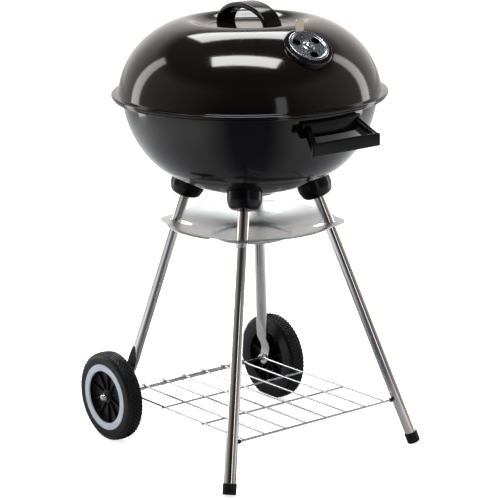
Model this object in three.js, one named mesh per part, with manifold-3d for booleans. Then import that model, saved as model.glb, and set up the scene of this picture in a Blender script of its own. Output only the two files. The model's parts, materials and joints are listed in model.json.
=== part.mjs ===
// Kettle charcoal grill on four tube legs, with two wheels, a wire shelf and an ash plate.
// Millimetres, +Z up. The floor is z = 0 and the bowl's axis is the Z axis. The front is -Y:
// the side handle, the lid's vent and the two rubber feet are there, the wheels are at +Y.
import * as THREE from "three";
import { mergeVertices } from "three/addons/utils/BufferGeometryUtils.js";
import Module from "manifold-3d";

const wasm = await Module();
wasm.setup();

const GAP = 0.3; // between pieces that touch
const ROUND = 32; // facets round the bowl and the lid
const WALL = 1.6; // enamelled steel sheet

// Bowl and lid
const RIM_R = 223.5;
const RIM_Z = 592;
const BOWL_VENT_RUN = 26;
const BOWL_VENT_R = 9;
const TONGUE_TURN = THREE.MathUtils.degToRad(22); // the ash door's tongue, clockwise from +X
const BOWL_TOP_R = 206;
const BOWL_TOP_Z = 587;
const BOWL_BOTTOM_Z = 432;
const BEAD_R = 220.5;
const LID_BASE_R = 212.4;
const LID_LIP_Z = RIM_Z + 8;
const CREST_R = 97; // the lid is highest just outside this radius and dips to a dish inside it
const CREST_Z = 713.3;
const DISH_R = 69;
const DISH_Z = 703;

// Lid vent, set in the front shoulder of the lid
const VENT_RUN = 162; // distance of its centre from the axis
const VENT_Z = 688.2;
const VENT_TILT = THREE.MathUtils.degToRad(35);
const VENT_TURN = THREE.MathUtils.degToRad(-3.9); // about the lid's axis
const VENT_HOLE_TURN = THREE.MathUtils.degToRad(27);
const VENT_PAD_R = 40;
const VENT_PAD_TOP = 1.6;
const VENT_PAD_TALL = 10;
const DAMPER_R = 33;
const VENT_HOLE_R = 7;
const VENT_HOLE_RUN = 20;
const VENT_HOLES = 3;
const RIVET_R = 2.4;

// Wheels and axle
const WHEEL_R = 76;
const WHEEL_Y = 166;
const WHEEL_X = 173.8;
const WHEEL_HALF = 15;
const WHEEL_FACETS = 28;
const AXLE_Z = WHEEL_R * Math.cos(Math.PI / WHEEL_FACETS);
const AXLE_R = 3.5;
const AXLE_HALF = 190;
const HUB_R = 12;
const HUB_OUT = 9.8; // outer end of the hub from the wheel's middle plane
const RECESS_R = 44.5;
const BAND_R = 56;
const RIBS = 10;
const TAB_X = 154.5; // middle plane of the flattened leg end
const TAB_HALF = 2.2;

// Handles
const STRAP_OUT = 65; // half span of the lid handle, outside
const STRAP_TOP = 741;
const STRAP_THICK = 9;
const STRAP_WIDE = 34;
const SCREW_R = 1.9;
const GRIP_FRONT = WHEEL_Y + AXLE_Z; // as far forward as the wheels reach back
const GRIP_THICK = 8;
const GRIP_HALF = 68;
const GRIP_Z = 544;
const GRIP_TALL = 20;
const ARM_WIDE = 10;
const ARM_FRONT = new THREE.Vector3(62, -GRIP_FRONT + GRIP_THICK / 2, GRIP_Z);
const ARM_BACK = new THREE.Vector3(48, -204, 568);
const BRACKET_R = 212;
const BRACKET_HALF = THREE.MathUtils.degToRad(16);
const BRACKET_Z = 556;
const BRACKET_TALL = 25;
const HANDLE_SCREW_X = 52;

// Grates
const COOK_R = 197;
const COOK_Z = 577;
const COAL_Z = 504;
const RING_WIRE = 3;
const GRATE_WIRE = 2;

// Legs: the axis of each leg passes through LEG_TOP and spreads by this much for each mm down
const LEG_R = 9.5;
const LEG_BORE_R = 8.5;
const LEG_TOP = new THREE.Vector3(74.3, 76.3, 434);
const FRONT_SPREAD = new THREE.Vector2(0.2807, 0.2447);
const REAR_SPREAD = new THREE.Vector2(0.2125, 0.2447);
const SOCKET_R = 28.5;
const SOCKET_LOW = 10.5; // how far the socket reaches down the leg from LEG_TOP
const BOLT_R = 3;
const FOOT_Z = 2.4; // centre of the cap's end
const CAP_R = 11.2;
const CAP_LONG = 18;

// Shelf
const SHELF_Z = 78;
const SHELF_HALF = 147.5;
const SHELF_FRONT = 163.5;
const SHELF_WIRES = 8;
const SHELF_WIRE = 1.6;
const HOOK_R = AXLE_R + SHELF_WIRE + 1.1;

// Ash plate
const PLATE_R = 140;
const PLATE_Z = 380;
const PLATE_THICK = 1.2;
const PLATE_FLOOR_R = 66;
const PLATE_FLOOR_Z = 361;
const LOBE_R = 44;
const LOBE_IN = 0.86; // the lobes' centres, as a share of the way out to the legs
const SLOT_HALF = 11.6;
const SLOT_IN = 14; // how far each slot runs in towards the centre past the leg

// Materials
const enamel = new THREE.MeshStandardMaterial({ color: 0x0c0b0a, roughness: 0.12, metalness: 0.1 });
const blackPlastic = new THREE.MeshStandardMaterial({ color: 0x101010, roughness: 0.3 });
const tyrePlastic = new THREE.MeshStandardMaterial({ color: 0x1d1f22, roughness: 0.6 });
const whitePlastic = new THREE.MeshStandardMaterial({ color: 0xdfe3e8, roughness: 0.45 });
const chrome = new THREE.MeshStandardMaterial({ color: 0xb9b5b0, roughness: 0.18, metalness: 1 });
const zinc = new THREE.MeshStandardMaterial({ color: 0xc3c9cc, roughness: 0.4, metalness: 0.8 });
const wireSteel = new THREE.MeshStandardMaterial({ color: 0xb5b8ba, roughness: 0.3, metalness: 1 });
const ventSteel = new THREE.MeshStandardMaterial({ color: 0x8f959c, roughness: 0.3, metalness: 1 });
const rubber = new THREE.MeshStandardMaterial({ color: 0x0b0b0b, roughness: 0.7 });

const grill = new THREE.Group();

// ---- Solids ----

// A closed three.js geometry as a solid that can be joined and cut, whichever way it was wound.
function solid(geometry) {
  const bare = geometry.clone();
  bare.deleteAttribute("normal");
  bare.deleteAttribute("uv");
  const merged = mergeVertices(bare, 1e-4);
  const at = merged.attributes.position;
  const corners = Array.from({ length: at.count }, (_, i) => new THREE.Vector3().fromBufferAttribute(at, i));
  const faces = [];
  let volume = 0;
  for (let i = 0; i < merged.index.count; i += 3) {
    const [a, b, c] = [0, 1, 2].map((k) => merged.index.getX(i + k));
    if (a !== b && b !== c && c !== a) {
      faces.push([a, b, c]);
      volume += corners[a].dot(new THREE.Vector3().crossVectors(corners[b], corners[c]));
    }
  }
  const wound = volume > 0 ? faces : faces.map(([a, b, c]) => [a, c, b]);
  return new wasm.Manifold(
    new wasm.Mesh({
      numProp: 3,
      vertProperties: new Float32Array(at.array),
      triVerts: new Uint32Array(wound.flat()),
    }),
  );
}

function joined(solids) {
  return solids.reduce((whole, next) => whole.add(next));
}

function cut(whole, tools) {
  return tools.reduce((rest, tool) => rest.subtract(tool), whole);
}

function addPart(name, shape, material) {
  const made = shape.getMesh();
  const geometry = new THREE.BufferGeometry();
  geometry.setAttribute("position", new THREE.Float32BufferAttribute(made.vertProperties, 3));
  geometry.setIndex(Array.from(made.triVerts));
  geometry.computeVertexNormals();
  const mesh = new THREE.Mesh(geometry, material);
  mesh.name = name;
  grill.add(mesh);
}

// A body turned about Z from [radius, height] pairs.
function turned(pairs, facets) {
  const points = pairs.map(([r, z]) => new THREE.Vector2(r, z));
  return new THREE.LatheGeometry(points, facets).rotateX(Math.PI / 2);
}

// A closed ring-shaped body turned about Z: its outline comes back to its start.
function turnedRing(pairs, facets) {
  return turned([...pairs, pairs[0]], facets);
}

// A round bar between two points.
function bar(from, to, radius, facets) {
  const along = new THREE.Vector3().subVectors(to, from);
  const geometry = new THREE.CylinderGeometry(radius, radius, along.length(), facets);
  const turn = new THREE.Quaternion().setFromUnitVectors(new THREE.Vector3(0, 1, 0), along.normalize());
  const middle = new THREE.Vector3().addVectors(from, to).multiplyScalar(0.5);
  geometry.applyQuaternion(turn);
  return geometry.translate(middle.x, middle.y, middle.z);
}

function point(x, y, z) {
  return new THREE.Vector3(x, y, z);
}

function box(wide, deep, tall, x, y, z) {
  return new THREE.BoxGeometry(wide, deep, tall).translate(x, y, z);
}

// ---- Sheet profiles ----

const bowlCurve = new THREE.CubicBezierCurve(
  new THREE.Vector2(0, BOWL_BOTTOM_Z),
  new THREE.Vector2(151, BOWL_BOTTOM_Z - 1),
  new THREE.Vector2(198.4, 518),
  new THREE.Vector2(BOWL_TOP_R, BOWL_TOP_Z),
);
const lidCurve = new THREE.CubicBezierCurve(
  new THREE.Vector2(CREST_R, CREST_Z),
  new THREE.Vector2(118, CREST_Z + 2.9),
  new THREE.Vector2(201.5, 686),
  new THREE.Vector2(LID_BASE_R, LID_LIP_Z),
);

// Points of a curve moved sideways by a distance, to the left of its direction.
function beside(curve, distance, steps) {
  const pairs = [];
  for (let i = 0; i <= steps; i += 1) {
    const at = curve.getPoint(i / steps);
    const way = curve.getTangent(i / steps);
    pairs.push([Math.max(0, at.x - way.y * distance), at.y + way.x * distance]);
  }
  return pairs;
}

// Radius of a curve's turned surface, moved sideways by a distance, at a height.
function radiusAtHeight(curve, distance, z) {
  const pairs = beside(curve, distance, 200);
  return pairs.reduce((best, pair) => (Math.abs(pair[1] - z) < Math.abs(best[1] - z) ? pair : best))[0];
}

// ---- Bowl ----

const BOWL_STEPS = 8;

// The room the bowl takes with a margin round it, for cutting what is fastened against it.
function bowlRoom(margin) {
  const skin = beside(bowlCurve, -margin, BOWL_STEPS);
  skin[0][0] = 0;
  return solid(turned([...skin, [0, BOWL_TOP_Z]], ROUND));
}

function makeBowl() {
  const outside = beside(bowlCurve, 0, BOWL_STEPS);
  const inside = beside(bowlCurve, WALL, BOWL_STEPS).reverse();
  inside[inside.length - 1][0] = 0;
  const bead = [
    [BEAD_R - 3, BOWL_TOP_Z],
    [BEAD_R, BOWL_TOP_Z + 2],
    [BEAD_R, RIM_Z - 2],
    [BEAD_R - 2, RIM_Z],
    [BEAD_R - 12, RIM_Z],
  ];
  const shell = solid(turned([...outside, ...bead, ...inside], ROUND));
  const holes = ventHoles(BOWL_VENT_RUN, BOWL_VENT_R, Math.PI / 2)
    .map((hole) => hole.translate(0, 0, BOWL_BOTTOM_Z));
  holes.push(new THREE.CylinderGeometry(RIVET_R + GAP, RIVET_R + GAP, 20, 8).rotateX(Math.PI / 2)
    .translate(0, 0, BOWL_BOTTOM_Z));
  for (const [x, y] of corners()) {
    const hole = new THREE.CylinderGeometry(BOLT_R + GAP, BOLT_R + GAP, 60, 8).rotateX(Math.PI / 2);
    holes.push(alongLeg(hole, x, y));
  }
  for (const side of [-1, 1]) {
    const x = side * HANDLE_SCREW_X;
    holes.push(bar(point(x, -180, ARM_BACK.z), point(x, -215, ARM_BACK.z), SCREW_R + GAP, 8));
  }
  addPart("bowl", cut(shell, holes.map(solid)), enamel);
}

// Air holes in a circle about Z, as cutting cylinders. The first is turned from +X.
function ventHoles(run, radius, first) {
  const holes = [];
  for (let i = 0; i < VENT_HOLES; i += 1) {
    const turn = first + (i * 2 * Math.PI) / VENT_HOLES;
    holes.push(new THREE.CylinderGeometry(radius, radius, 30, 10).rotateX(Math.PI / 2)
      .translate(run * Math.cos(turn), run * Math.sin(turn), 0));
  }
  return holes;
}

// The ash door: a flat disc under the bowl's bottom holes, with a tongue to turn it by.
function makeBowlDamper() {
  const top = BOWL_BOTTOM_Z - 1.2;
  const disc = turned([[0, top - 1.5], [42, top - 1.5], [42, top], [0, top]], 24);
  const tongue = box(56, 14, 1.5, 66, 0, top - 0.75).rotateZ(-TONGUE_TURN);
  const holes = ventHoles(BOWL_VENT_RUN, BOWL_VENT_R, Math.PI / 2).map((hole) => hole.translate(0, 0, top));
  holes.push(new THREE.CylinderGeometry(RIVET_R + GAP, RIVET_R + GAP, 20, 8).rotateX(Math.PI / 2)
    .translate(0, 0, top));
  addPart("bowl_damper", cut(joined([solid(disc), solid(tongue)]), holes.map(solid)), zinc);
  const low = top - 1.5 - GAP;
  const high = BOWL_BOTTOM_Z + WALL + 1 + GAP;
  const rivet = [[0, low - 2], [5, low - 2], [5, low], [RIVET_R, low], [RIVET_R, high], [5, high],
    [5, high + 1.5], [0, high + 1.5]];
  addPart("bowl_damper_rivet", solid(turned(rivet, 8)), ventSteel);
}

// ---- Lid ----

const LID_STEPS = 6;

// Moves a piece made about the origin, with +Z out of the lid and +Y up the slope, to the vent.
function onVent(geometry) {
  return geometry.rotateX(VENT_TILT).translate(0, -VENT_RUN, VENT_Z).rotateZ(VENT_TURN);
}

function makeLid() {
  const outside = beside(lidCurve, 0, LID_STEPS);
  const inside = beside(lidCurve, -WALL, LID_STEPS).reverse();
  const lip = [
    [RIM_R - 1, LID_LIP_Z - 2],
    [RIM_R, LID_LIP_Z - 3],
    [RIM_R, RIM_Z + GAP + 1],
    [RIM_R - 1, RIM_Z + GAP],
    [RIM_R - 12, RIM_Z + GAP],
  ];
  const profile = [
    [0, DISH_Z],
    [DISH_R, DISH_Z],
    [CREST_R - 12, DISH_Z + 6],
    ...outside,
    ...lip,
    ...inside,
    [CREST_R - 11.4, DISH_Z + 6 - WALL],
    [DISH_R + 0.5, DISH_Z - WALL],
    [0, DISH_Z - WALL],
  ];
  const pad = new THREE.CylinderGeometry(VENT_PAD_R, VENT_PAD_R, VENT_PAD_TALL, 20).rotateX(Math.PI / 2)
    .translate(0, 0, VENT_PAD_TOP - VENT_PAD_TALL / 2);
  const holes = ventHoles(VENT_HOLE_RUN, VENT_HOLE_R, VENT_HOLE_TURN).map(onVent);
  holes.push(onVent(new THREE.CylinderGeometry(RIVET_R + GAP, RIVET_R + GAP, 40, 8).rotateX(Math.PI / 2)));
  for (const y of screwRows()) {
    holes.push(bar(point(0, y, DISH_Z - 8), point(0, y, DISH_Z + 8), SCREW_R + GAP, 8));
  }
  const shell = joined([solid(turned(profile, ROUND)), solid(onVent(pad))]);
  addPart("lid", cut(shell, holes.map(solid)), enamel);
}

// The damper: a disc with a raised edge, three holes and a tongue bent up at its upper edge.
function makeLidDamper() {
  const low = VENT_PAD_TOP + GAP;
  const profile = [[0, low], [DAMPER_R, low], [DAMPER_R, low + 3], [DAMPER_R - 3, low + 3],
    [DAMPER_R - 5, low + 1.4], [0, low + 1.4]];
  const tongue = box(15.5, 1.5, 22, 0, 0, 11).rotateX(-VENT_TILT).translate(0, DAMPER_R - 4, low + 0.3);
  const holes = ventHoles(VENT_HOLE_RUN, VENT_HOLE_R, VENT_HOLE_TURN);
  holes.push(new THREE.CylinderGeometry(RIVET_R + GAP, RIVET_R + GAP, 40, 8).rotateX(Math.PI / 2));
  const whole = joined([turned(profile, 20), tongue].map(onVent).map(solid));
  addPart("lid_damper", cut(whole, holes.map(onVent).map(solid)), ventSteel);
  const top = low + 1.4 + GAP;
  const under = VENT_PAD_TOP - VENT_PAD_TALL - GAP;
  const rivet = [[0, under - 2], [5, under - 2], [5, under], [RIVET_R, under], [RIVET_R, top], [5, top],
    [4, top + 2.5], [0, top + 3]];
  addPart("lid_damper_rivet", solid(onVent(turned(rivet, 8))), ventSteel);
}

// Where the two screws of the lid handle stand.
function screwRows() {
  const middle = STRAP_OUT - STRAP_THICK / 2;
  return [-middle, middle];
}

// The lid handle: a flat strap bent into an arch along Y.
function makeLidHandle() {
  const foot = DISH_Z + GAP;
  const rise = STRAP_TOP - foot;
  const outline = new THREE.Shape();
  outline.absellipse(0, foot, STRAP_OUT, rise, 0, Math.PI, false);
  outline.lineTo(-STRAP_OUT + STRAP_THICK, foot);
  outline.absellipse(0, foot, STRAP_OUT - STRAP_THICK, rise - STRAP_THICK, Math.PI, 0, true);
  const strap = new THREE.ExtrudeGeometry(outline, { depth: STRAP_WIDE, bevelEnabled: false, curveSegments: 9 })
    .translate(0, 0, -STRAP_WIDE / 2)
    .applyMatrix4(new THREE.Matrix4().makeBasis(point(0, 1, 0), point(0, 0, 1), point(1, 0, 0)));
  const bores = screwRows().map((y) =>
    solid(bar(point(0, y, foot - 5), point(0, y, foot + 12), SCREW_R + GAP, 8)));
  addPart("lid_handle", cut(solid(strap), bores), blackPlastic);
  for (const [name, y] of [["front", screwRows()[0]], ["rear", screwRows()[1]]]) {
    const under = DISH_Z - WALL - GAP;
    const screw = [[0, under - 3], [4.5, under - 3], [4.5, under], [SCREW_R, under], [SCREW_R, foot + 10],
      [0, foot + 10]];
    addPart(`lid_handle_screw_${name}`, solid(turned(screw, 8).translate(0, y, 0)), ventSteel);
  }
}

// ---- Side handle ----

// A bar of rectangular section from one point to another, its ends square to Y.
function slantedBar(from, to, wide, tall) {
  const along = new THREE.Vector3().subVectors(to, from);
  const middle = new THREE.Vector3().addVectors(from, to).multiplyScalar(0.5);
  const place = new THREE.Matrix4().makeBasis(point(1, 0, 0), along, point(0, 0, 1)).setPosition(middle);
  return new THREE.BoxGeometry(wide, 1, tall).applyMatrix4(place);
}

function mirroredX(vector, side) {
  return point(side * vector.x, vector.y, vector.z);
}

function makeSideHandle() {
  const grip = box(2 * GRIP_HALF, GRIP_THICK, GRIP_TALL, 0, -GRIP_FRONT + GRIP_THICK / 2, GRIP_Z);
  const arms = [-1, 1].map((side) =>
    slantedBar(mirroredX(ARM_FRONT, side), mirroredX(ARM_BACK, side), ARM_WIDE, GRIP_TALL));
  const keepOut = new THREE.CylinderGeometry(BRACKET_R + GAP, BRACKET_R + GAP, 80, 72).rotateX(Math.PI / 2)
    .translate(0, 0, ARM_BACK.z);
  const bores = [-1, 1].map((side) => {
    const x = side * HANDLE_SCREW_X;
    return solid(bar(point(x, -185, ARM_BACK.z), point(x, -217, ARM_BACK.z), SCREW_R + GAP, 8));
  });
  addPart("side_handle", cut(joined([grip, ...arms].map(solid)), [solid(keepOut), ...bores]), blackPlastic);

  const plan = new THREE.Shape();
  plan.absarc(0, 0, BRACKET_R, -Math.PI / 2 - BRACKET_HALF, -Math.PI / 2 + BRACKET_HALF, false);
  plan.lineTo(190 * Math.sin(BRACKET_HALF), -190 * Math.cos(BRACKET_HALF));
  plan.lineTo(-190 * Math.sin(BRACKET_HALF), -190 * Math.cos(BRACKET_HALF));
  const plate = new THREE.ExtrudeGeometry(plan, { depth: BRACKET_TALL, bevelEnabled: false, curveSegments: 8 })
    .translate(0, 0, BRACKET_Z);
  addPart("side_handle_bracket", cut(solid(plate), [bowlRoom(GAP), ...bores]), blackPlastic);

  for (const [name, side] of [["left", -1], ["right", 1]]) {
    const screw = [[0, 0], [4, 0], [4, 2.5], [SCREW_R, 2.5], [SCREW_R, 25], [0, 25]];
    const geometry = turned(screw, 8).rotateX(Math.PI / 2).translate(side * HANDLE_SCREW_X, -187.5, ARM_BACK.z);
    addPart(`side_handle_screw_${name}`, solid(geometry), ventSteel);
  }
}

// ---- Grates ----

// A round grate: a ring, bars across it along X, and two bars under them along Y.
function grate(radius, z, bars) {
  const pieces = [new THREE.TorusGeometry(radius - RING_WIRE, RING_WIRE, 4, ROUND).translate(0, 0, z)];
  const reach = radius - RING_WIRE;
  const pitch = (2 * reach) / (bars + 1);
  const low = z - 2 * GRATE_WIRE - 0.2;
  for (let i = 1; i <= bars; i += 1) {
    const y = -reach + i * pitch;
    const half = Math.sqrt(reach * reach - y * y) - 0.5;
    pieces.push(bar(point(-half, y, z), point(half, y, z), GRATE_WIRE, 4));
  }
  for (const side of [-1, 1]) {
    const x = side * radius * 0.42;
    const half = Math.sqrt(reach * reach - x * x) + 1;
    pieces.push(bar(point(x, -half, low), point(x, half, low), GRATE_WIRE, 4));
  }
  return joined(pieces.map(solid));
}

function makeGrates() {
  addPart("cooking_grate", grate(COOK_R, COOK_Z, 15), wireSteel);
  const coalRadius = radiusAtHeight(bowlCurve, WALL, COAL_Z - RING_WIRE) - 2.6;
  addPart("charcoal_grate", grate(coalRadius, COAL_Z, 11), wireSteel);
}

// The four brackets welded inside the bowl that carry the cooking grate.
function makeGrateBrackets() {
  const top = COOK_Z - RING_WIRE - GAP;
  const low = top - 26;
  const shy = 2.2;
  const outline = new THREE.Shape();
  const highR = radiusAtHeight(bowlCurve, WALL, top) - shy;
  const lowR = radiusAtHeight(bowlCurve, WALL, low) - shy;
  outline.moveTo(highR, top);
  outline.lineTo(highR - 18, top);
  outline.lineTo(highR - 18, top - 2);
  outline.lineTo(highR - 3, top - 2);
  outline.lineTo(lowR - 2, low);
  outline.lineTo(lowR, low);
  const names = ["left_rear", "left_front", "right_front", "right_rear"];
  names.forEach((name, i) => {
    const turn = (3 * Math.PI) / 4 + (i * Math.PI) / 2;
    const geometry = new THREE.ExtrudeGeometry(outline, { depth: 16, bevelEnabled: false })
      .translate(0, 0, -8)
      .rotateX(Math.PI / 2)
      .rotateZ(turn);
    addPart(`grate_bracket_${name}`, solid(geometry), zinc);
  });
}

// ---- Legs ----

function corners() {
  return [[-1, 1], [-1, -1], [1, -1], [1, 1]];
}

function cornerName(x, y) {
  return `${x < 0 ? "left" : "right"}_${y < 0 ? "front" : "rear"}`;
}

// The leg's axis at a height.
function legSpread(y) {
  return y < 0 ? FRONT_SPREAD : REAR_SPREAD;
}

// Length along a leg's axis for each mm of height.
function legStretch(y) {
  return Math.hypot(1, legSpread(y).x, legSpread(y).y);
}

function legPoint(x, y, z) {
  const drop = LEG_TOP.z - z;
  return point(x * (LEG_TOP.x + legSpread(y).x * drop), y * (LEG_TOP.y + legSpread(y).y * drop), z);
}

// Moves a piece made about Z, with the origin at LEG_TOP, onto the axis of one leg.
function alongLeg(geometry, x, y) {
  const up = point(-x * legSpread(y).x, -y * legSpread(y).y, 1).normalize();
  const turn = new THREE.Quaternion().setFromUnitVectors(point(0, 0, 1), up);
  geometry.applyQuaternion(turn);
  return geometry.translate(x * LEG_TOP.x, y * LEG_TOP.y, LEG_TOP.z);
}

const LEG_LONG = (LEG_TOP.z - FOOT_Z) * legStretch(-1);
const PLUG_TOP = 8; // top end of the leg on its own axis, a little above LEG_TOP
const PLUG_LONG = 16;

function makeSocket(x, y) {
  const profile = [
    [LEG_R + GAP, -SOCKET_LOW],
    [SOCKET_R - 12, -SOCKET_LOW],
    [SOCKET_R - 4, -SOCKET_LOW + 4],
    [SOCKET_R, -SOCKET_LOW + 14],
    [SOCKET_R, 45],
    [BOLT_R + GAP, 45],
    [BOLT_R + GAP, PLUG_TOP + GAP],
    [LEG_R + GAP, PLUG_TOP + GAP],
  ];
  const cup = solid(alongLeg(turnedRing(profile, 14), x, y));
  addPart(`leg_socket_${cornerName(x, y)}`, cut(cup, [bowlRoom(GAP + 0.1)]), blackPlastic);
}

function makeLegBolt(x, y) {
  const head = 19.5;
  const profile = [[0, PLUG_TOP - PLUG_LONG + 1], [BOLT_R, PLUG_TOP - PLUG_LONG + 1], [BOLT_R, head], [8, head],
    [8, head + 1.5], [5.5, head + 1.5], [5.5, head + 5], [0, head + 5]];
  addPart(`leg_bolt_${cornerName(x, y)}`, solid(alongLeg(turned(profile, 6), x, y)), ventSteel);
}

// The bore of a leg and the threaded hole in the plug at its top, as cutting tools on the axis.
function legBores(low, x, y) {
  const plug = PLUG_TOP - PLUG_LONG;
  const bore = turned([[0, low], [LEG_BORE_R, low], [LEG_BORE_R, plug], [0, plug]], 10);
  const thread = turned([[0, plug - 5], [BOLT_R + GAP, plug - 5], [BOLT_R + GAP, PLUG_TOP + 5],
    [0, PLUG_TOP + 5]], 6);
  return [bore, thread].map((tool) => solid(alongLeg(tool, x, y)));
}

function makeFrontLeg(x) {
  const end = -LEG_LONG + 3.2;
  const tube = turned([[0, end], [LEG_R, end], [LEG_R, PLUG_TOP], [0, PLUG_TOP]], 14);
  const shelfEnd = point(x * 140, -SHELF_FRONT, SHELF_Z);
  const shelfHole = bar(shelfEnd, legPoint(x, -1, SHELF_Z), SHELF_WIRE + GAP + 0.2, 6);
  const bores = legBores(end - 5, x, -1);
  addPart(`leg_${cornerName(x, -1)}`, cut(solid(alongLeg(tube, x, -1)), [...bores, solid(shelfHole)]), chrome);
}

// A rubber cap on a front leg. Its lowest edge beds flat on the floor.
function makeFootCap(x) {
  const end = -LEG_LONG;
  const profile = [[0, end], [CAP_R, end], [CAP_R, end + CAP_LONG], [LEG_R + GAP, end + CAP_LONG],
    [LEG_R + GAP, end + 2.9], [0, end + 2.9]];
  const foot = legPoint(x, -1, 0);
  const floor = solid(box(80, 80, 20, foot.x, foot.y, -10));
  addPart(`foot_cap_${cornerName(x, -1)}`, cut(solid(alongLeg(turned(profile, 20), x, -1)), [floor]), rubber);
}

const FLAT_TOP_Z = 172; // the tube is round above this height and flat below FLAT_LOW_Z
const FLAT_LOW_Z = 132;
const BEND_TOP_Z = 122; // the flat end is bent outwards between these heights
const BEND_LOW_Z = 92;
const TAB_END_Z = 64;
const TAB_WIDE = 12.4; // half width of the flattened end

// A wheel leg: a tube whose lower end is pressed flat and set upright, with a hole for the axle.
function makeWheelLeg(x) {
  const heights = [TAB_END_Z, AXLE_Z];
  for (let z = BEND_LOW_Z; z <= FLAT_TOP_Z + 10; z += 10) {
    heights.push(z);
  }
  const side = heights.map((z) => [LEG_R, (z - LEG_TOP.z) * legStretch(1)]);
  const tube = turned([[0, side[0][1]], ...side, [LEG_R, PLUG_TOP], [0, PLUG_TOP]], 14);
  alongLeg(tube, x, 1);
  const at = tube.attributes.position;
  for (let i = 0; i < at.count; i += 1) {
    const here = new THREE.Vector3().fromBufferAttribute(at, i);
    const axis = legPoint(x, 1, here.z);
    const flat = THREE.MathUtils.smoothstep(FLAT_TOP_Z - here.z, 0, FLAT_TOP_Z - FLAT_LOW_Z);
    const thin = THREE.MathUtils.lerp(1, TAB_HALF / LEG_R, flat);
    const broad = THREE.MathUtils.lerp(1, TAB_WIDE / LEG_R, flat);
    const bent = THREE.MathUtils.smoothstep(BEND_TOP_Z - here.z, 0, BEND_TOP_Z - BEND_LOW_Z);
    const middle = THREE.MathUtils.lerp(axis.x, x * TAB_X, bent);
    at.setXYZ(i, middle + (here.x - axis.x) * thin, axis.y + (here.y - axis.y) * broad, here.z);
  }
  const bores = legBores((FLAT_TOP_Z + 14 - LEG_TOP.z) * legStretch(1), x, 1);
  const axleHole = bar(point(x * 130, WHEEL_Y, AXLE_Z), point(x * 170, WHEEL_Y, AXLE_Z), AXLE_R + GAP, 12);
  addPart(`leg_${cornerName(x, 1)}`, cut(solid(tube), [...bores, solid(axleHole)]), chrome);
}

function makeLegs() {
  for (const [x, y] of corners()) {
    makeSocket(x, y);
    makeLegBolt(x, y);
  }
  for (const x of [-1, 1]) {
    makeFrontLeg(x);
    makeFootCap(x);
    makeWheelLeg(x);
  }
}

// ---- Wheels ----

// Moves a piece turned about Z, with +Z facing outwards, onto one wheel's centre.
function onAxle(geometry, x) {
  const way = x > 0 ? Math.PI / 2 : -Math.PI / 2;
  return geometry.rotateY(way).translate(x * WHEEL_X, WHEEL_Y, AXLE_Z);
}

function makeWheel(x) {
  const side = x < 0 ? "left" : "right";
  const w = WHEEL_HALF;
  const half = Math.PI / WHEEL_FACETS;
  const profile = [
    [AXLE_R + GAP, -w], [HUB_R, -w], [HUB_R, -3], [RECESS_R, -3], [RECESS_R, -w + 1],
    [WHEEL_R - 5, -w], [WHEEL_R, -w + 5], [WHEEL_R, w - 5], [WHEEL_R - 5, w], [BAND_R + GAP, w],
    [BAND_R + GAP, w - 2.5], [RECESS_R, w - 2.5], [RECESS_R, 3], [HUB_R, 3], [HUB_R, HUB_OUT],
    [AXLE_R + GAP, HUB_OUT],
  ];
  const pieces = [turnedRing(profile, WHEEL_FACETS).rotateZ(half)];
  for (let i = 0; i < RIBS; i += 1) {
    pieces.push(box(RECESS_R - HUB_R + 3, 2, 2 * w - 8, (RECESS_R + HUB_R) / 2, 0, 0)
      .rotateZ((i * 2 * Math.PI) / RIBS));
  }
  addPart(`${side}_wheel`, joined(pieces.map((piece) => solid(onAxle(piece, x)))), tyrePlastic);

  const band = [[RECESS_R + GAP, w - 2.2], [BAND_R, w - 2.2], [BAND_R, w + 0.5], [RECESS_R + GAP, w + 0.5]];
  addPart(`${side}_wheel_band`, solid(onAxle(turnedRing(band, WHEEL_FACETS).rotateZ(half), x)), whitePlastic);

  const spacerIn = TAB_X + TAB_HALF + GAP - WHEEL_X;
  const spacer = [[AXLE_R + GAP, spacerIn], [7, spacerIn], [7, -w - GAP], [AXLE_R + GAP, -w - GAP]];
  addPart(`${side}_wheel_spacer`, solid(onAxle(turnedRing(spacer, 12), x)), zinc);

  const nut = HUB_OUT + GAP;
  const cap = [[0, nut + 11], [5, nut + 9.5], [6, nut + 6], [6, nut + 2], [0, nut + 2]];
  const hex = new THREE.CylinderGeometry(7.5, 7.5, 6, 6).rotateX(Math.PI / 2).translate(0, 0, nut + 3);
  const thread = new THREE.CylinderGeometry(AXLE_R + GAP, AXLE_R + GAP, 20, 10).rotateX(Math.PI / 2)
    .translate(0, 0, nut - 2);
  const body = joined([turned(cap, 12), hex].map((piece) => solid(onAxle(piece, x))));
  addPart(`${side}_axle_nut`, cut(body, [solid(onAxle(thread, x))]), chrome);
}

function makeAxle() {
  const from = point(-AXLE_HALF, WHEEL_Y, AXLE_Z);
  addPart("axle", solid(bar(from, point(AXLE_HALF, WHEEL_Y, AXLE_Z), AXLE_R, 12)), wireSteel);
}

// ---- Shelf ----

// One long wire: straight, then rising to a hook over the axle.
function shelfWire(x) {
  const bend = point(x, WHEEL_Y - 20, SHELF_Z);
  const hook = [bend, point(x, WHEEL_Y - 13, SHELF_Z + 0.7), point(x, WHEEL_Y - 6, AXLE_Z + HOOK_R - 0.8)];
  for (let i = 0; i <= 5; i += 1) {
    const turn = Math.PI / 2 - (i * 1.15 * Math.PI) / 5;
    hook.push(point(x, WHEEL_Y + HOOK_R * Math.cos(turn), AXLE_Z + HOOK_R * Math.sin(turn)));
  }
  const section = new THREE.Shape();
  section.absarc(0, 0, SHELF_WIRE, 0, 2 * Math.PI, false);
  const path = new THREE.CatmullRomCurve3(hook);
  const curl = new THREE.ExtrudeGeometry(section, { steps: 8, extrudePath: path, curveSegments: 2 });
  return [bar(point(x, -SHELF_FRONT, SHELF_Z), point(x, bend.y + 1, SHELF_Z), SHELF_WIRE, 4), curl];
}

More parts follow.
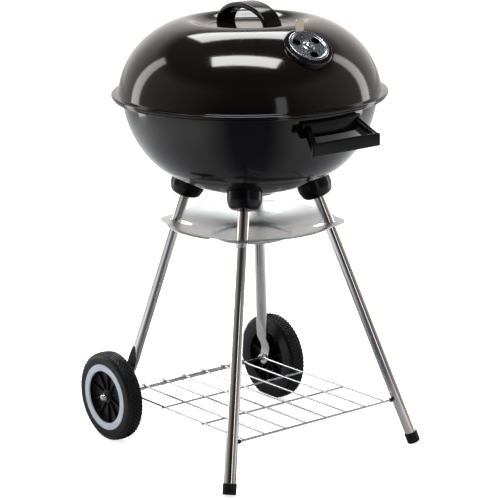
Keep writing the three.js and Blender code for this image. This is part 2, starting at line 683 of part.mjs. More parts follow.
function makeShelf() {
  const pieces = [];
  for (let i = 0; i < SHELF_WIRES; i += 1) {
    pieces.push(...shelfWire(-SHELF_HALF + (i * 2 * SHELF_HALF) / (SHELF_WIRES - 1)));
  }
  const low = SHELF_Z - 1.6;
  for (const y of [-SHELF_FRONT + 109, -SHELF_FRONT + 218]) {
    pieces.push(bar(point(-SHELF_HALF - 3, y, low), point(SHELF_HALF + 3, y, low), SHELF_WIRE, 4));
  }
  const reach = legPoint(1, -1, SHELF_Z).x - 1;
  const [left, right] = [-reach, reach].map((x) => point(x, -SHELF_FRONT, SHELF_Z));
  pieces.push(bar(left, right, SHELF_WIRE + 0.2, 4));
  addPart("wire_shelf", joined(pieces.map(solid)), wireSteel);
  for (const [name, side] of [["left", -1], ["right", 1]]) {
    const bore = SHELF_WIRE + 0.2 + GAP;
    const bush = turnedRing([[bore, 0], [3.6, 0], [3.6, 5], [bore, 5]], 10);
    const x = side > 0 ? 158 : -163;
    bush.rotateY(Math.PI / 2).translate(x, -SHELF_FRONT, SHELF_Z);
    addPart(`shelf_bush_${name}`, solid(bush), rubber);
  }
}

// ---- Ash plate ----

function makeAshPlate() {
  const t = PLATE_THICK;
  const profile = [
    [0, PLATE_FLOOR_Z - 6], [PLATE_FLOOR_R - 5, PLATE_FLOOR_Z - 6], [PLATE_FLOOR_R, PLATE_FLOOR_Z],
    [PLATE_R - 8, PLATE_Z], [PLATE_R, PLATE_Z], [PLATE_R, PLATE_Z + t], [PLATE_R - 8.3, PLATE_Z + t],
    [PLATE_FLOOR_R, PLATE_FLOOR_Z + t], [PLATE_FLOOR_R - 5.4, PLATE_FLOOR_Z - 6 + t],
    [0, PLATE_FLOOR_Z - 6 + t],
  ];
  const centre = solid(new THREE.CylinderGeometry(PLATE_R - 3, PLATE_R - 3, 20, 40).rotateX(Math.PI / 2)
    .translate(0, 0, PLATE_Z));
  const lobes = corners().map(([x, y]) => {
    const at = legPoint(x, y, PLATE_Z);
    const disc = new THREE.CylinderGeometry(LOBE_R, LOBE_R, t, 20).rotateX(Math.PI / 2);
    disc.translate(LOBE_IN * at.x, LOBE_IN * at.y, PLATE_Z + t / 2);
    return solid(disc).subtract(centre);
  });
  const slots = corners().flatMap(([x, y]) => legSlot(x, y));
  const mouths = [1, -1].map((way) => hookMouth(way));
  addPart("ash_plate", cut(joined([solid(turned(profile, ROUND)), ...lobes]), [...slots, ...mouths]), zinc);
}

// The slot round one leg, running in towards the centre so that the plate can be lifted.
function legSlot(x, y) {
  const at = legPoint(x, y, PLATE_Z);
  const turn = Math.atan2(at.y, at.x);
  const run = Math.hypot(at.x, at.y);
  const ends = [run, run - SLOT_IN].map((r) => new THREE.CylinderGeometry(SLOT_HALF, SLOT_HALF, 60, 16)
    .rotateX(Math.PI / 2).translate(r * Math.cos(turn), r * Math.sin(turn), PLATE_Z));
  const middle = box(SLOT_IN, 2 * SLOT_HALF, 60, run - SLOT_IN / 2, 0, PLATE_Z).rotateZ(turn);
  return [...ends, middle].map(solid);
}

// The mouth beside the rear right leg (way 1) or the front left leg (way -1): the plate is put
// in with the legs in the mouths and turned until they sit in their slots.
function hookMouth(way) {
  const mouth = new THREE.Shape();
  mouth.moveTo(92, 40);
  mouth.lineTo(170, 66);
  mouth.lineTo(158, 98);
  mouth.lineTo(118, 80);
  mouth.lineTo(96, 92);
  mouth.lineTo(78, 72);
  const geometry = new THREE.ExtrudeGeometry(mouth, { depth: 60, bevelEnabled: false })
    .translate(0, 0, PLATE_Z - 30);
  return solid(way > 0 ? geometry : geometry.rotateZ(Math.PI));
}

makeLid();
makeLidDamper();
makeLidHandle();
makeBowl();
makeBowlDamper();
makeSideHandle();
makeGrateBrackets();
makeGrates();
makeLegs();
makeAxle();
makeWheel(-1);
makeWheel(1);
makeShelf();
makeAshPlate();

export default grill;
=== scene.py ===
import json
import math

import bmesh
import bpy
from mathutils import Matrix, Vector


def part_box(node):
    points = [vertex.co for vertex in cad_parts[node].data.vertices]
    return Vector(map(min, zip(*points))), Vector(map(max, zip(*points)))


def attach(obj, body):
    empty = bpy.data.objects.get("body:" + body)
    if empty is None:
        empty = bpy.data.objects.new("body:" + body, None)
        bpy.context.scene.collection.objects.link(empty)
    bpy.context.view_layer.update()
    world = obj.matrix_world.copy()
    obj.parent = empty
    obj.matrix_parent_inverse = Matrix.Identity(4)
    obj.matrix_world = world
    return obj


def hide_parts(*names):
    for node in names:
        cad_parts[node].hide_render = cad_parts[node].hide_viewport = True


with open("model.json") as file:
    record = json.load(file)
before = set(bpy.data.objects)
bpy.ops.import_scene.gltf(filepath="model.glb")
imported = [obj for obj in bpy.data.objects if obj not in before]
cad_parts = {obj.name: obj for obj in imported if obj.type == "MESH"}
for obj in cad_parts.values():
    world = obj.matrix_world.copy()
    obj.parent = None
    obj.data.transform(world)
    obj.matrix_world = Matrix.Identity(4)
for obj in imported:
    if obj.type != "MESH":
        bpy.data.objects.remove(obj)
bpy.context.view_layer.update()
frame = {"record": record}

# A kettle charcoal grill: smooth pieces for every CAD node, their materials, a pale floor and
# studio lights. Shapes are worked out in millimetres and turned into metres by mesh_from().

MM = 0.001
GAP = 0.3  # between pieces that touch, as in the CAD


def cad(node):
    """Lowest and highest corner of a CAD node, in millimetres."""
    low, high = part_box(node)
    return low / MM, high / MM


BODY_OF = {}
for body_name, members in frame["record"]["behaviour"]["bodies"].items():
    for member in members:
        BODY_OF[member] = body_name

# Bowl and lid, from their boxes
RIM_R = cad("lid")[1].x
RIM_Z = cad("bowl")[1].z
BEAD_R = cad("bowl")[1].x
BOWL_BOTTOM_Z = cad("bowl")[0].z
WALL = 1.6
BOWL_TOP_R = RIM_R - 17.5
BOWL_TOP_Z = RIM_Z - 5
BOWL_PULLS = ((151, BOWL_BOTTOM_Z - 1), (198.4, 518))  # the two middle control points of its curve
GROOVE_R = 145  # a shallow groove pressed round the bowl's bottom
GROOVE_HALF = 3.2
GROOVE_DEEP = 1.3
STEP_WIDE = 6  # the bottom inside the groove stands a little higher
STEP_DEEP = 0.8
LID_BASE_R = RIM_R - 11.1
LIP_Z = RIM_Z + 8
CREST_R = 97
CREST_Z = 713.3
DISH_R = 66
DISH_Z = cad("lid_handle")[0].z - GAP
LID_PULLS = ((118, CREST_Z + 2.9), (201.5, 686))
CURVE_STEPS = 64
ROUND = 192

# Lid vent and bottom vent
VENT_RUN = 162
VENT_Z = 688.2
VENT_TILT = math.radians(35)
VENT_TURN = math.radians(-3.9)
VENT_HOLE_TURN = math.radians(27)
PAD_R = 40
PAD_TOP = 1.6
PAD_TALL = 10
DAMPER_R = 33
VENT_HOLE_R = 7
VENT_HOLE_RUN = 20
RIVET_R = 2.4
TONGUE_LOW = 710.5  # the tongue's painted reflection, a paler and warmer colour than the disc, starts at this height
# Painted reflection: the colour the upright tongue is given in place of the warm light it mirrors
TONGUE_REFLECTION_COLOUR = (0.62, 0.52, 0.42, 1)
LID_TONGUE = (15.5, 22, 1.2)  # width, height and corner radius
HOLE_DEPTH = 15
BOWL_VENT_RUN = 26
BOWL_VENT_R = 9
BOWL_DAMPER_R = 42
BOWL_DAMPER_THICK = 1.5
ASH_TONGUE = (56, 14, 4)  # length, width and corner radius
ASH_TONGUE_RUN = 66
TONGUE_TURN = math.radians(22)

# Handles
STRAP_OUT = cad("lid_handle")[1].y
STRAP_TOP = cad("lid_handle")[1].z
STRAP_THICK = 9
STRAP_HALF = cad("lid_handle")[1].x
SCREW_RUN = STRAP_OUT - STRAP_THICK / 2
GRIP_FRONT = cad("side_handle")[0].y
GRIP_THICK = 8
GRIP_HALF = 68
GRIP_Z = 544
GRIP_TALL = 20
ARM_FRONT_X = 62
ARM_WIDE = 9
ARM_BACK = Vector((48, -204, 568))
BRACKET_R = 212
BRACKET_HALF = math.radians(16)
BRACKET_LOW = cad("side_handle_bracket")[0].z
BRACKET_TOP = cad("side_handle_bracket")[1].z
ARM_CUT = (480, 620)  # heights of the round wall that the arms end against
HANDLE_SCREW_X = 52
HANDLE_SCREW_Y = -187.5

# Legs: each axis passes through LEG_TOP and spreads by this much for each mm down
LEG_R = 9.5
LEG_BORE_R = 8.5
LEG_TOP = Vector((74.3, 76.3, 434))
FRONT_SPREAD = Vector((0.2807, 0.2447))
REAR_SPREAD = Vector((0.2125, 0.2447))
FOOT_Z = 2.4
LEG_LONG = (LEG_TOP.z - FOOT_Z) * math.hypot(1, FRONT_SPREAD.x, FRONT_SPREAD.y)
PLUG_TOP = 8
SOCKET_R = 28.5
SOCKET_LOW = 10.5
SOCKET_HIGH = 45
BOLT_R = 3
BOLT_HEAD = 19.5
CAP_R = 11.2
CAP_LONG = 18
TAB_X = 154.5
TAB_HALF = 2.2
TAB_WIDE = 12.4
TAB_END_R = 10.5
FLAT_TOP_Z = 164
FLAT_LOW_Z = 126
BEND_TOP_Z = 122
BEND_LOW_Z = 92
CRUSHED_Z = 200  # the crushed tube's sections lie close together below this height
CRUSHED_STEP = 2.5
CORNERS = [(-1, 1), (-1, -1), (1, -1), (1, 1)]

# Wheels
AXLE_LOW, AXLE_HIGH = cad("axle")
AXLE_Y = (AXLE_LOW.y + AXLE_HIGH.y) / 2
AXLE_Z = cad("left_wheel")[1].z / 2
AXLE_R = 3.5
WHEEL_X = 173.8
WHEEL_HALF = 15
TREAD_R = AXLE_Z - 0.05
HUB_R = 12
HUB_OUT = 9.8
WEB_OUT = 4.8
RIB_OUT = 8.5
RECESS_R = 44.5
BAND_R = 56
RIBS = 10
TREAD_MARGIN = 3.5
LUG_GAP = 0.7
LUG_COLUMNS = 5
LUGS_ROUND = 64
SPACER_R = 7

# Shelf: its long wires end in hooks over the axle
SHELF_Z = 78
SHELF_HALF = 147.5
SHELF_FRONT = -163.5
SHELF_WIRES = 8
SHELF_WIRE = 1.6
CROSS_WIRES = (SHELF_FRONT + 109, SHELF_FRONT + 218)
HOOK_R = AXLE_R + SHELF_WIRE + 0.5
HOOK_START = math.radians(165)
HOOK_SWEEP = math.radians(228)
HOOK_STEPS = 14

# Ash plate
PLATE_R = 140
PLATE_Z = 380
PLATE_THICK = 1.2
DISH_FLOOR_R = 66
DISH_FLOOR_Z = 361
LOBE_R = 44
LOBE_IN = 0.86
LOBE_ROOT = PLATE_R - 7
CUT_DEPTH = 30
SLOT_HALF = 11.6
SLOT_IN = 14

# Grates
COOK_Z = 577
COAL_Z = 504
COOK_BARS = 15
COAL_BARS = 11
RING_WIRE = 3
GRATE_WIRE = 2
GRATE_BRACKET_TALL = 26
GRATE_BRACKET_REACH = 18
CROSS_AT = 0.42  # the two cross wires, as a share of the grate's radius


# ---- Outlines ----

def bezier(ends, steps):
    """Points of a cubic curve through four control points, with their directions."""
    made = []
    a, b, c, d = (Vector(p) for p in ends)
    for i in range(steps + 1):
        t = i / steps
        s = 1 - t
        at = a * s**3 + b * 3 * s * s * t + c * 3 * s * t * t + d * t**3
        way = (b - a) * s * s + (c - b) * 2 * s * t + (d - c) * t * t
        made.append((at, way.normalized()))
    return made


def beside(curve, distance):
    """A sampled curve moved sideways, to the left of its direction."""
    return [Vector((max(0, at.x - way.y * distance), at.y + way.x * distance)) for at, way in curve]


def eased(corners, closed=False, steps=5):
    """An outline whose corners are rounded. A corner is (x, y) or (x, y, radius)."""
    made = []
    count = len(corners)
    for i, corner in enumerate(corners):
        here = Vector(corner[:2])
        radius = corner[2] if len(corner) > 2 else 0
        if not radius or (not closed and i in (0, count - 1)):
            made.append(here)
            continue
        back = Vector(corners[i - 1][:2]) - here
        ahead = Vector(corners[(i + 1) % count][:2]) - here
        half = back.angle(ahead) / 2
        reach = min(radius / math.tan(half), back.length * 0.5, ahead.length * 0.5)
        start = here + back.normalized() * reach
        end = here + ahead.normalized() * reach
        middle = here + (back.normalized() + ahead.normalized()).normalized() * reach / math.cos(half)
        for k in range(steps + 1):
            spoke = (start - middle).slerp(end - middle, k / steps).normalized()
            made.append(middle + spoke * (start - middle).length)
    return made


def circle(radius, steps):
    return [Vector((radius * math.cos(2 * math.pi * i / steps), radius * math.sin(2 * math.pi * i / steps)))
            for i in range(steps)]


def rounded_box(wide, tall, radius, steps=4):
    x, y = wide / 2, tall / 2
    return eased([(x, -y, radius), (x, y, radius), (-x, y, radius), (-x, -y, radius)], True, steps)


BOWL_CURVE = bezier([(0, BOWL_BOTTOM_Z), *BOWL_PULLS, (BOWL_TOP_R, BOWL_TOP_Z)], CURVE_STEPS)
LID_CURVE = bezier([(CREST_R, CREST_Z), *LID_PULLS, (LID_BASE_R, LIP_Z)], CURVE_STEPS)


def bowl_outline(distance):
    """The bowl's outline from the bottom up, with the shallow groove pressed round its bottom."""
    pairs = beside(BOWL_CURVE, distance)
    for pair in pairs:
        off = (pair.x - GROOVE_R) / GROOVE_HALF
        pair.y += GROOVE_DEEP * math.exp(-off * off)
        if pair.x < GROOVE_R:
            pair.y += STEP_DEEP * min(1, (GROOVE_R - pair.x) / STEP_WIDE)
    return pairs


def radius_at(pairs, z):
    return min(pairs, key=lambda pair: abs(pair.y - z)).x


# ---- Solids: lists of points in millimetres and faces ----

def turned(outline, steps=ROUND, ring=False):
    """A body turned about Z from (radius, height) pairs. A ring's outline closes on itself."""
    points, rows, faces = [], [], []
    for pair in outline:
        start = len(points)
        if pair[0] < 1e-6:
            rows.append([start])
            points.append(Vector((0, 0, pair[1])))
            continue
        rows.append(list(range(start, start + steps)))
        for spot in circle(pair[0], steps):
            points.append(Vector((spot.x, spot.y, pair[1])))
    after = rows[1:] + (rows[:1] if ring else [])
    for low, high in zip(rows, after):
        for i in range(steps):
            k = (i + 1) % steps
            if len(low) == 1 and len(high) > 1:
                faces.append((low[0], high[k], high[i]))
            elif len(high) == 1 and len(low) > 1:
                faces.append((low[i], low[k], high[0]))
            elif len(low) > 1:
                faces.append((low[i], low[k], high[k], high[i]))
    return points, faces


def lofted(sections):
    """A skin over a row of sections with equal numbers of points, closed at both ends."""
    count = len(sections[0])
    points = [p for section in sections for p in section]
    faces = []
    for low in range(0, len(points) - count, count):
        for k in range(count):
            n = (k + 1) % count
            faces.append((low + k, low + n, low + count + n, low + count + k))
    faces.append(tuple(range(count))[::-1])
    faces.append(tuple(range(len(points) - count, len(points))))
    return points, faces


def tube(path, radius, steps):
    """A round bar along a path, without twisting."""
    path = [Vector(p) for p in path]
    section = circle(radius, steps)
    sections = []
    across = None
    for i, at in enumerate(path):
        way = (path[min(i + 1, len(path) - 1)] - path[max(i - 1, 0)]).normalized()
        if across is None:
            across = way.orthogonal().normalized()
        else:
            across = (across - way * across.dot(way)).normalized()
        up = across.cross(way)
        sections.append([at + across * spot.x + up * spot.y for spot in section])
    return lofted(sections)


def slab(outline, low, high, edge=0.4):
    """A flat plate with eased edges: an outline in plan between two heights."""
    middle = sum((Vector(p) for p in outline), Vector((0, 0))) / len(outline)
    sections = []
    for z, inset in ((low, edge), (low + edge, 0), (high - edge, 0), (high, edge)):
        ring = []
        for p in outline:
            spot = Vector(p)
            spot -= (spot - middle).normalized() * inset
            ring.append(Vector((spot.x, spot.y, z)))
        sections.append(ring)
    return lofted(sections)


def moved(solid, matrix):
    return [matrix @ p for p in solid[0]], solid[1]


def shifted(solid, x, y, z):
    return moved(solid, Matrix.Translation((x, y, z)))


def mesh_from(name, solids):
    mesh = bpy.data.meshes.new(name)
    build = bmesh.new()
    for points, faces in solids:
        corners = [build.verts.new(p * MM) for p in points]
        for face in faces:
            build.faces.new([corners[i] for i in face])
    bmesh.ops.remove_doubles(build, verts=build.verts, dist=1e-7)
    bmesh.ops.recalc_face_normals(build, faces=build.faces)
    build.to_mesh(mesh)
    build.free()
    return mesh


def cut(obj, solids, operation="DIFFERENCE"):
    """Cuts solids out of an object, or joins them to it."""
    for solid in solids:
        tool = bpy.data.objects.new("tool", mesh_from("tool", [solid]))
        bpy.context.scene.collection.objects.link(tool)
        change = obj.modifiers.new("cut", "BOOLEAN")
        change.object = tool
        change.operation = operation
        change.solver = "EXACT"
        graph = bpy.context.evaluated_depsgraph_get()
        result = bpy.data.meshes.new_from_object(obj.evaluated_get(graph))
        obj.modifiers.clear()
        before = obj.data
        obj.data = result
        bpy.data.meshes.remove(before)
        bpy.data.meshes.remove(tool.data)


def show(node, solids, look, sharp=32, cuts=(), joins=()):
    """Makes the piece that stands for a CAD node."""
    name = "shown_" + node
    obj = bpy.data.objects.new(name, mesh_from(name, solids))
    bpy.context.scene.collection.objects.link(obj)
    cut(obj, joins, "UNION")
    cut(obj, cuts)
    obj.data.shade_smooth()
    obj.data.set_sharp_from_angle(angle=math.radians(sharp))
    obj.data.materials.clear()
    obj.data.materials.append(look["material"])
    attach(obj, BODY_OF[node])
    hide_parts(node)


# ---- Materials ----

NOISE_LOW = 0.3  # a noise stays mostly between these two values
NOISE_HIGH = 0.7


class Nodes:
    """A material's node tree, built step by step."""

    def __init__(self, name):
        self.material = bpy.data.materials.new(name)
        self.material.use_nodes = True
        self.tree = self.material.node_tree
        self.shader = self.tree.nodes["Principled BSDF"]
        self.place = self.add("ShaderNodeTexCoord").outputs["Object"]

    def add(self, kind, **settings):
        node = self.tree.nodes.new(kind)
        for key, value in settings.items():
            if key in node.inputs:
                node.inputs[key].default_value = value
            else:
                setattr(node, key, value)
        return node

    def link(self, out, into):
        self.tree.links.new(out, into)

    def noise(self, scale, detail, stretch=None):
        node = self.add("ShaderNodeTexNoise")
        node.inputs["Scale"].default_value = scale
        node.inputs["Detail"].default_value = detail
        place = self.place
        if stretch:
            mapping = self.add("ShaderNodeMapping")
            mapping.inputs["Scale"].default_value = stretch
            self.link(place, mapping.inputs["Vector"])
            place = mapping.outputs["Vector"]
        self.link(place, node.inputs["Vector"])
        return node.outputs["Fac"]

    def spread(self, value, low, high, into):
        """Maps a noise from its usual range to low..high on an input."""
        node = self.add("ShaderNodeMapRange")
        node.inputs["From Min"].default_value = NOISE_LOW
        node.inputs["From Max"].default_value = NOISE_HIGH
        node.inputs["To Min"].default_value = low
        node.inputs["To Max"].default_value = high
        self.link(value, node.inputs["Value"])
        self.link(node.outputs["Result"], into)

    def tint(self, value, first, second, into):
        ramp = self.add("ShaderNodeValToRGB")
        ramp.color_ramp.elements[0].position = NOISE_LOW
        ramp.color_ramp.elements[1].position = NOISE_HIGH
        ramp.color_ramp.elements[0].color = (*first, 1)
        ramp.color_ramp.elements[1].color = (*second, 1)
        self.link(value, ramp.inputs["Fac"])
        self.link(ramp.outputs["Color"], into)

    def bump(self, value, strength, depth):
        node = self.add("ShaderNodeBump")
        node.inputs["Strength"].default_value = strength
        node.inputs["Distance"].default_value = depth * MM
        self.link(value, node.inputs["Height"])
        self.link(node.outputs["Normal"], self.shader.inputs["Normal"])


def surface(slot, first, second, metallic, roughness, grain, bump, stretch=None, ior=1.5, blotch=9.0):
    """A finish: two near colours in soft blotches, roughness that varies, and a fine grain."""
    nodes = Nodes(slot)
    shader = nodes.shader
    shader.inputs["Metallic"].default_value = metallic
    shader.inputs["IOR"].default_value = ior
    nodes.tint(nodes.noise(blotch, 2.0), first, second, shader.inputs["Base Color"])
    nodes.spread(nodes.noise(blotch * 4, 4.0, stretch), *roughness, shader.inputs["Roughness"])
    nodes.bump(nodes.noise(grain, 3.0, stretch), *bump)
    return {"slot": slot, "material": nodes.material}


def paint_tongue_reflection(look):
    """Painted reflection: the damper's tongue, above the disc, is coloured paler and warmer than the disc,
    standing in for the warm light that the upright tongue mirrors.
    """
    tree = look["material"].node_tree
    shader = tree.nodes["Principled BSDF"]
    before = shader.inputs["Base Color"].links[0].from_socket
    place = tree.nodes.new("ShaderNodeTexCoord")
    split = tree.nodes.new("ShaderNodeSeparateXYZ")
    tree.links.new(place.outputs["Object"], split.inputs["Vector"])
    step = tree.nodes.new("ShaderNodeMapRange")
    step.inputs["From Min"].default_value = TONGUE_LOW * MM
    step.inputs["From Max"].default_value = (TONGUE_LOW + 1) * MM
    tree.links.new(split.outputs["Z"], step.inputs["Value"])
    mix = tree.nodes.new("ShaderNodeMix")
    mix.data_type = "RGBA"
    # painted reflection on the tongue, mixed in above TONGUE_LOW
    mix.inputs[7].default_value = TONGUE_REFLECTION_COLOUR
    tree.links.new(step.outputs["Result"], mix.inputs["Factor"])
    tree.links.new(before, mix.inputs[6])
    tree.links.new(mix.outputs[2], shader.inputs["Base Color"])


enamel = surface("black_enamel", (0.0028, 0.0022, 0.002), (0.0045, 0.0036, 0.0032), 0.0,
                 (0.08, 0.11), 420, (0.05, 0.05), ior=1.42)
handle_plastic = surface("handle_plastic", (0.0015, 0.0015, 0.0015), (0.003, 0.003, 0.003), 0.0,
                         (0.14, 0.22), 1500, (0.1, 0.05), ior=1.27)
socket_plastic = surface("socket_plastic", (0.001, 0.001, 0.0012), (0.002, 0.002, 0.0024), 0.0,
                         (0.18, 0.26), 1400, (0.1, 0.05), ior=1.3)
vent_steel = surface("vent_steel", (0.16, 0.18, 0.21), (0.34, 0.37, 0.41), 1.0,
                     (0.16, 0.34), 700, (0.25, 0.08), blotch=120)
# The tongue gets a painted reflection, a paler and warmer colour than the disc
paint_tongue_reflection(vent_steel)
fastener_steel = surface("fastener_steel", (0.55, 0.54, 0.52), (0.72, 0.71, 0.69), 1.0,
                         (0.14, 0.26), 1200, (0.12, 0.04))
zinc_sheet = surface("zinc_sheet", (0.66, 0.695, 0.715), (0.73, 0.765, 0.785), 1.0,
                     (0.42, 0.54), 260, (0.12, 0.08), blotch=30)
grate_wire = surface("grate_wire", (0.55, 0.55, 0.54), (0.7, 0.7, 0.69), 1.0,
                     (0.18, 0.3), 900, (0.12, 0.05))
shelf_wire = surface("shelf_wire", (0.6, 0.61, 0.62), (0.68, 0.69, 0.7), 1.0,
                     (0.12, 0.2), 900, (0.04, 0.03))
leg_chrome = surface("leg_chrome", (0.68, 0.65, 0.62), (0.76, 0.73, 0.7), 1.0,
                     (0.07, 0.14), 500, (0.06, 0.05), stretch=(1, 1, 0.05))
wheel_plastic = surface("wheel_plastic", (0.0022, 0.0023, 0.0026), (0.0042, 0.0044, 0.005), 0.0,
                        (0.34, 0.46), 1300, (0.2, 0.06), ior=1.32)
wheel_white = surface("wheel_white", (0.38, 0.42, 0.48), (0.44, 0.48, 0.54), 0.0,
                      (0.35, 0.5), 1100, (0.2, 0.05))
cap_rubber = surface("cap_rubber", (0.002, 0.002, 0.002), (0.0045, 0.0045, 0.0045), 0.0,
                     (0.45, 0.6), 1500, (0.3, 0.08), ior=1.35)


# ---- Lid ----

def on_vent():
    """From a piece made about the origin, +Z out of the lid and +Y up the slope, to the vent."""
    lean = Matrix.Translation((0, -VENT_RUN, VENT_Z)) @ Matrix.Rotation(VENT_TILT, 4, "X")
    return Matrix.Rotation(VENT_TURN, 4, "Z") @ lean


def vent_holes(run, radius, first=math.pi / 2):
    """Air holes in a circle about Z, as cutting solids."""
    holes = []
    for i in range(3):
        turn = first + i * 2 * math.pi / 3
        drill = turned([(0, -HOLE_DEPTH), (radius, -HOLE_DEPTH), (radius, HOLE_DEPTH), (0, HOLE_DEPTH)], 40)
        holes.append(shifted(drill, run * math.cos(turn), run * math.sin(turn), 0))
    return holes


def lid_vent_holes():
    return [moved(hole, on_vent()) for hole in vent_holes(VENT_HOLE_RUN, VENT_HOLE_R, VENT_HOLE_TURN)]


def bowl_vent_holes(height):
    return [shifted(hole, 0, 0, height) for hole in vent_holes(BOWL_VENT_RUN, BOWL_VENT_R)]


def make_lid():
    outside = beside(LID_CURVE, 0)
    inside = beside(LID_CURVE, -WALL)[::-1]
    roll = beside(bezier([(DISH_R, DISH_Z), (DISH_R + 11, DISH_Z), (CREST_R - 11, CREST_Z - 1.5),
                          (CREST_R, CREST_Z)], 20), 0)
    lip = eased([(LID_BASE_R, LIP_Z), (LID_BASE_R + 0.6, RIM_Z + 5.6, 2.5), (RIM_R, RIM_Z + 5.4, 2.2),
                 (RIM_R, RIM_Z + GAP, 1.2), (RIM_R - 12, RIM_Z + GAP, 0.8), (inside[0].x, inside[0].y)])
    under = [pair + Vector((0.4, -WALL)) for pair in roll[::-1]]
    outline = [(0, DISH_Z), (DISH_R * 0.5, DISH_Z), *roll, *outside[1:], *lip[1:-1], *inside, *under[1:],
               (DISH_R * 0.5, DISH_Z - WALL), (0, DISH_Z - WALL)]
    foot = PAD_TOP - PAD_TALL
    pad = turned(eased([(0, foot), (PAD_R, foot), (PAD_R, PAD_TOP, 2), (0, PAD_TOP)]), 96)
    show("lid", [turned(outline)], enamel, joins=[moved(pad, on_vent())], cuts=lid_vent_holes())


def make_lid_damper():
    low = PAD_TOP + GAP
    rim = low + 3
    outline = eased([(0, low), (DAMPER_R, low, 0.5), (DAMPER_R, rim, 1.6), (DAMPER_R - 3.6, rim, 1.6),
                     (DAMPER_R - 5.6, low + 1, 1.6), (10, low + 1, 0.8), (8, low + 1.7, 0.8),
                     (0, low + 1.7)])
    plate = rounded_box(*LID_TONGUE)
    tongue = moved(slab(plate, -0.75, 0.75, 0.3), Matrix.Rotation(math.pi / 2, 4, "X"))
    lean = Matrix.Translation((0, DAMPER_R - 4, low + 0.3)) @ Matrix.Rotation(-VENT_TILT, 4, "X")
    tongue = moved(shifted(tongue, 0, 0, 11), lean)
    show("lid_damper", [moved(turned(outline, 96), on_vent())], vent_steel,
         joins=[moved(tongue, on_vent())], cuts=lid_vent_holes())
    top = low + 1.7 + GAP
    under = PAD_TOP - PAD_TALL - GAP
    rivet = eased([(0, under - 2), (5, under - 2, 1), (5, under), (RIVET_R, under), (RIVET_R, top),
                   (5.4, top, 0.3), (4.6, top + 2.2, 1.6), (0, top + 2.6)])
    show("lid_damper_rivet", [moved(turned(rivet, 32), on_vent())], fastener_steel)


def make_lid_handle():
    foot = DISH_Z + GAP
    sections = []
    rise = STRAP_TOP - foot
    for i in range(65):
        turn = math.pi * i / 64
        spoke = Vector((0, math.cos(turn), math.sin(turn)))
        outer = Vector((0, spoke.y * STRAP_OUT, foot + spoke.z * rise))
        inner = Vector((0, spoke.y * (STRAP_OUT - STRAP_THICK), foot + spoke.z * (rise - STRAP_THICK)))
        thick = (outer - inner).length
        out = (outer - inner).normalized()
        middle = (outer + inner) / 2
        section = rounded_box(2 * STRAP_HALF, thick, 2.6, 6)
        sections.append([middle + Vector((spot.x, 0, 0)) + out * spot.y for spot in section])
    show("lid_handle", [lofted(sections)], handle_plastic, 50)
    for name, y in (("front", -SCREW_RUN), ("rear", SCREW_RUN)):
        under = DISH_Z - WALL - GAP
        screw = eased([(0, under - 3), (4.5, under - 3, 1.4), (4.5, under), (1.9, under), (1.9, foot + 9),
                       (0, foot + 9)])
        show(f"lid_handle_screw_{name}", [shifted(turned(screw, 24), 0, y, 0)], fastener_steel)


# ---- Bowl ----

def make_bowl():
    outside = bowl_outline(0)
    outside[0].x = 0
    inside = bowl_outline(WALL)[::-1]
    inside[-1].x = 0
    bead = eased([(outside[-1].x, outside[-1].y), (outside[-1].x + 0.3, BOWL_TOP_Z + 1, 1),
                  (BEAD_R, BOWL_TOP_Z + 1, 1.8), (BEAD_R, RIM_Z, 1.4), (BEAD_R - 12, RIM_Z, 0.8),
                  (inside[0].x, inside[0].y)])
    skin = turned([*outside, *bead[1:-1], *inside])
    show("bowl", [skin], enamel, cuts=bowl_vent_holes(BOWL_BOTTOM_Z))


def make_bowl_damper():
    top = BOWL_BOTTOM_Z - 1.2
    under = top - BOWL_DAMPER_THICK
    disc = turned(eased([(0, under), (BOWL_DAMPER_R, under, 0.5), (BOWL_DAMPER_R, top, 0.5), (0, top)]), 96)
    tongue = slab(rounded_box(*ASH_TONGUE), top - 1.45, top - 0.05, 0.4)
    tongue = moved(shifted(tongue, ASH_TONGUE_RUN, 0, 0), Matrix.Rotation(-TONGUE_TURN, 4, "Z"))
    show("bowl_damper", [disc], zinc_sheet, joins=[tongue], cuts=bowl_vent_holes(top))
    low = under - GAP
    high = BOWL_BOTTOM_Z + WALL + 1 + GAP
    rivet = eased([(0, low - 2), (5, low - 2, 1.2), (5, low), (RIVET_R, low), (RIVET_R, high), (5, high),
                   (5, high + 1.5, 1), (0, high + 1.5)])
    show("bowl_damper_rivet", [turned(rivet, 32)], fastener_steel)


# ---- Side handle ----

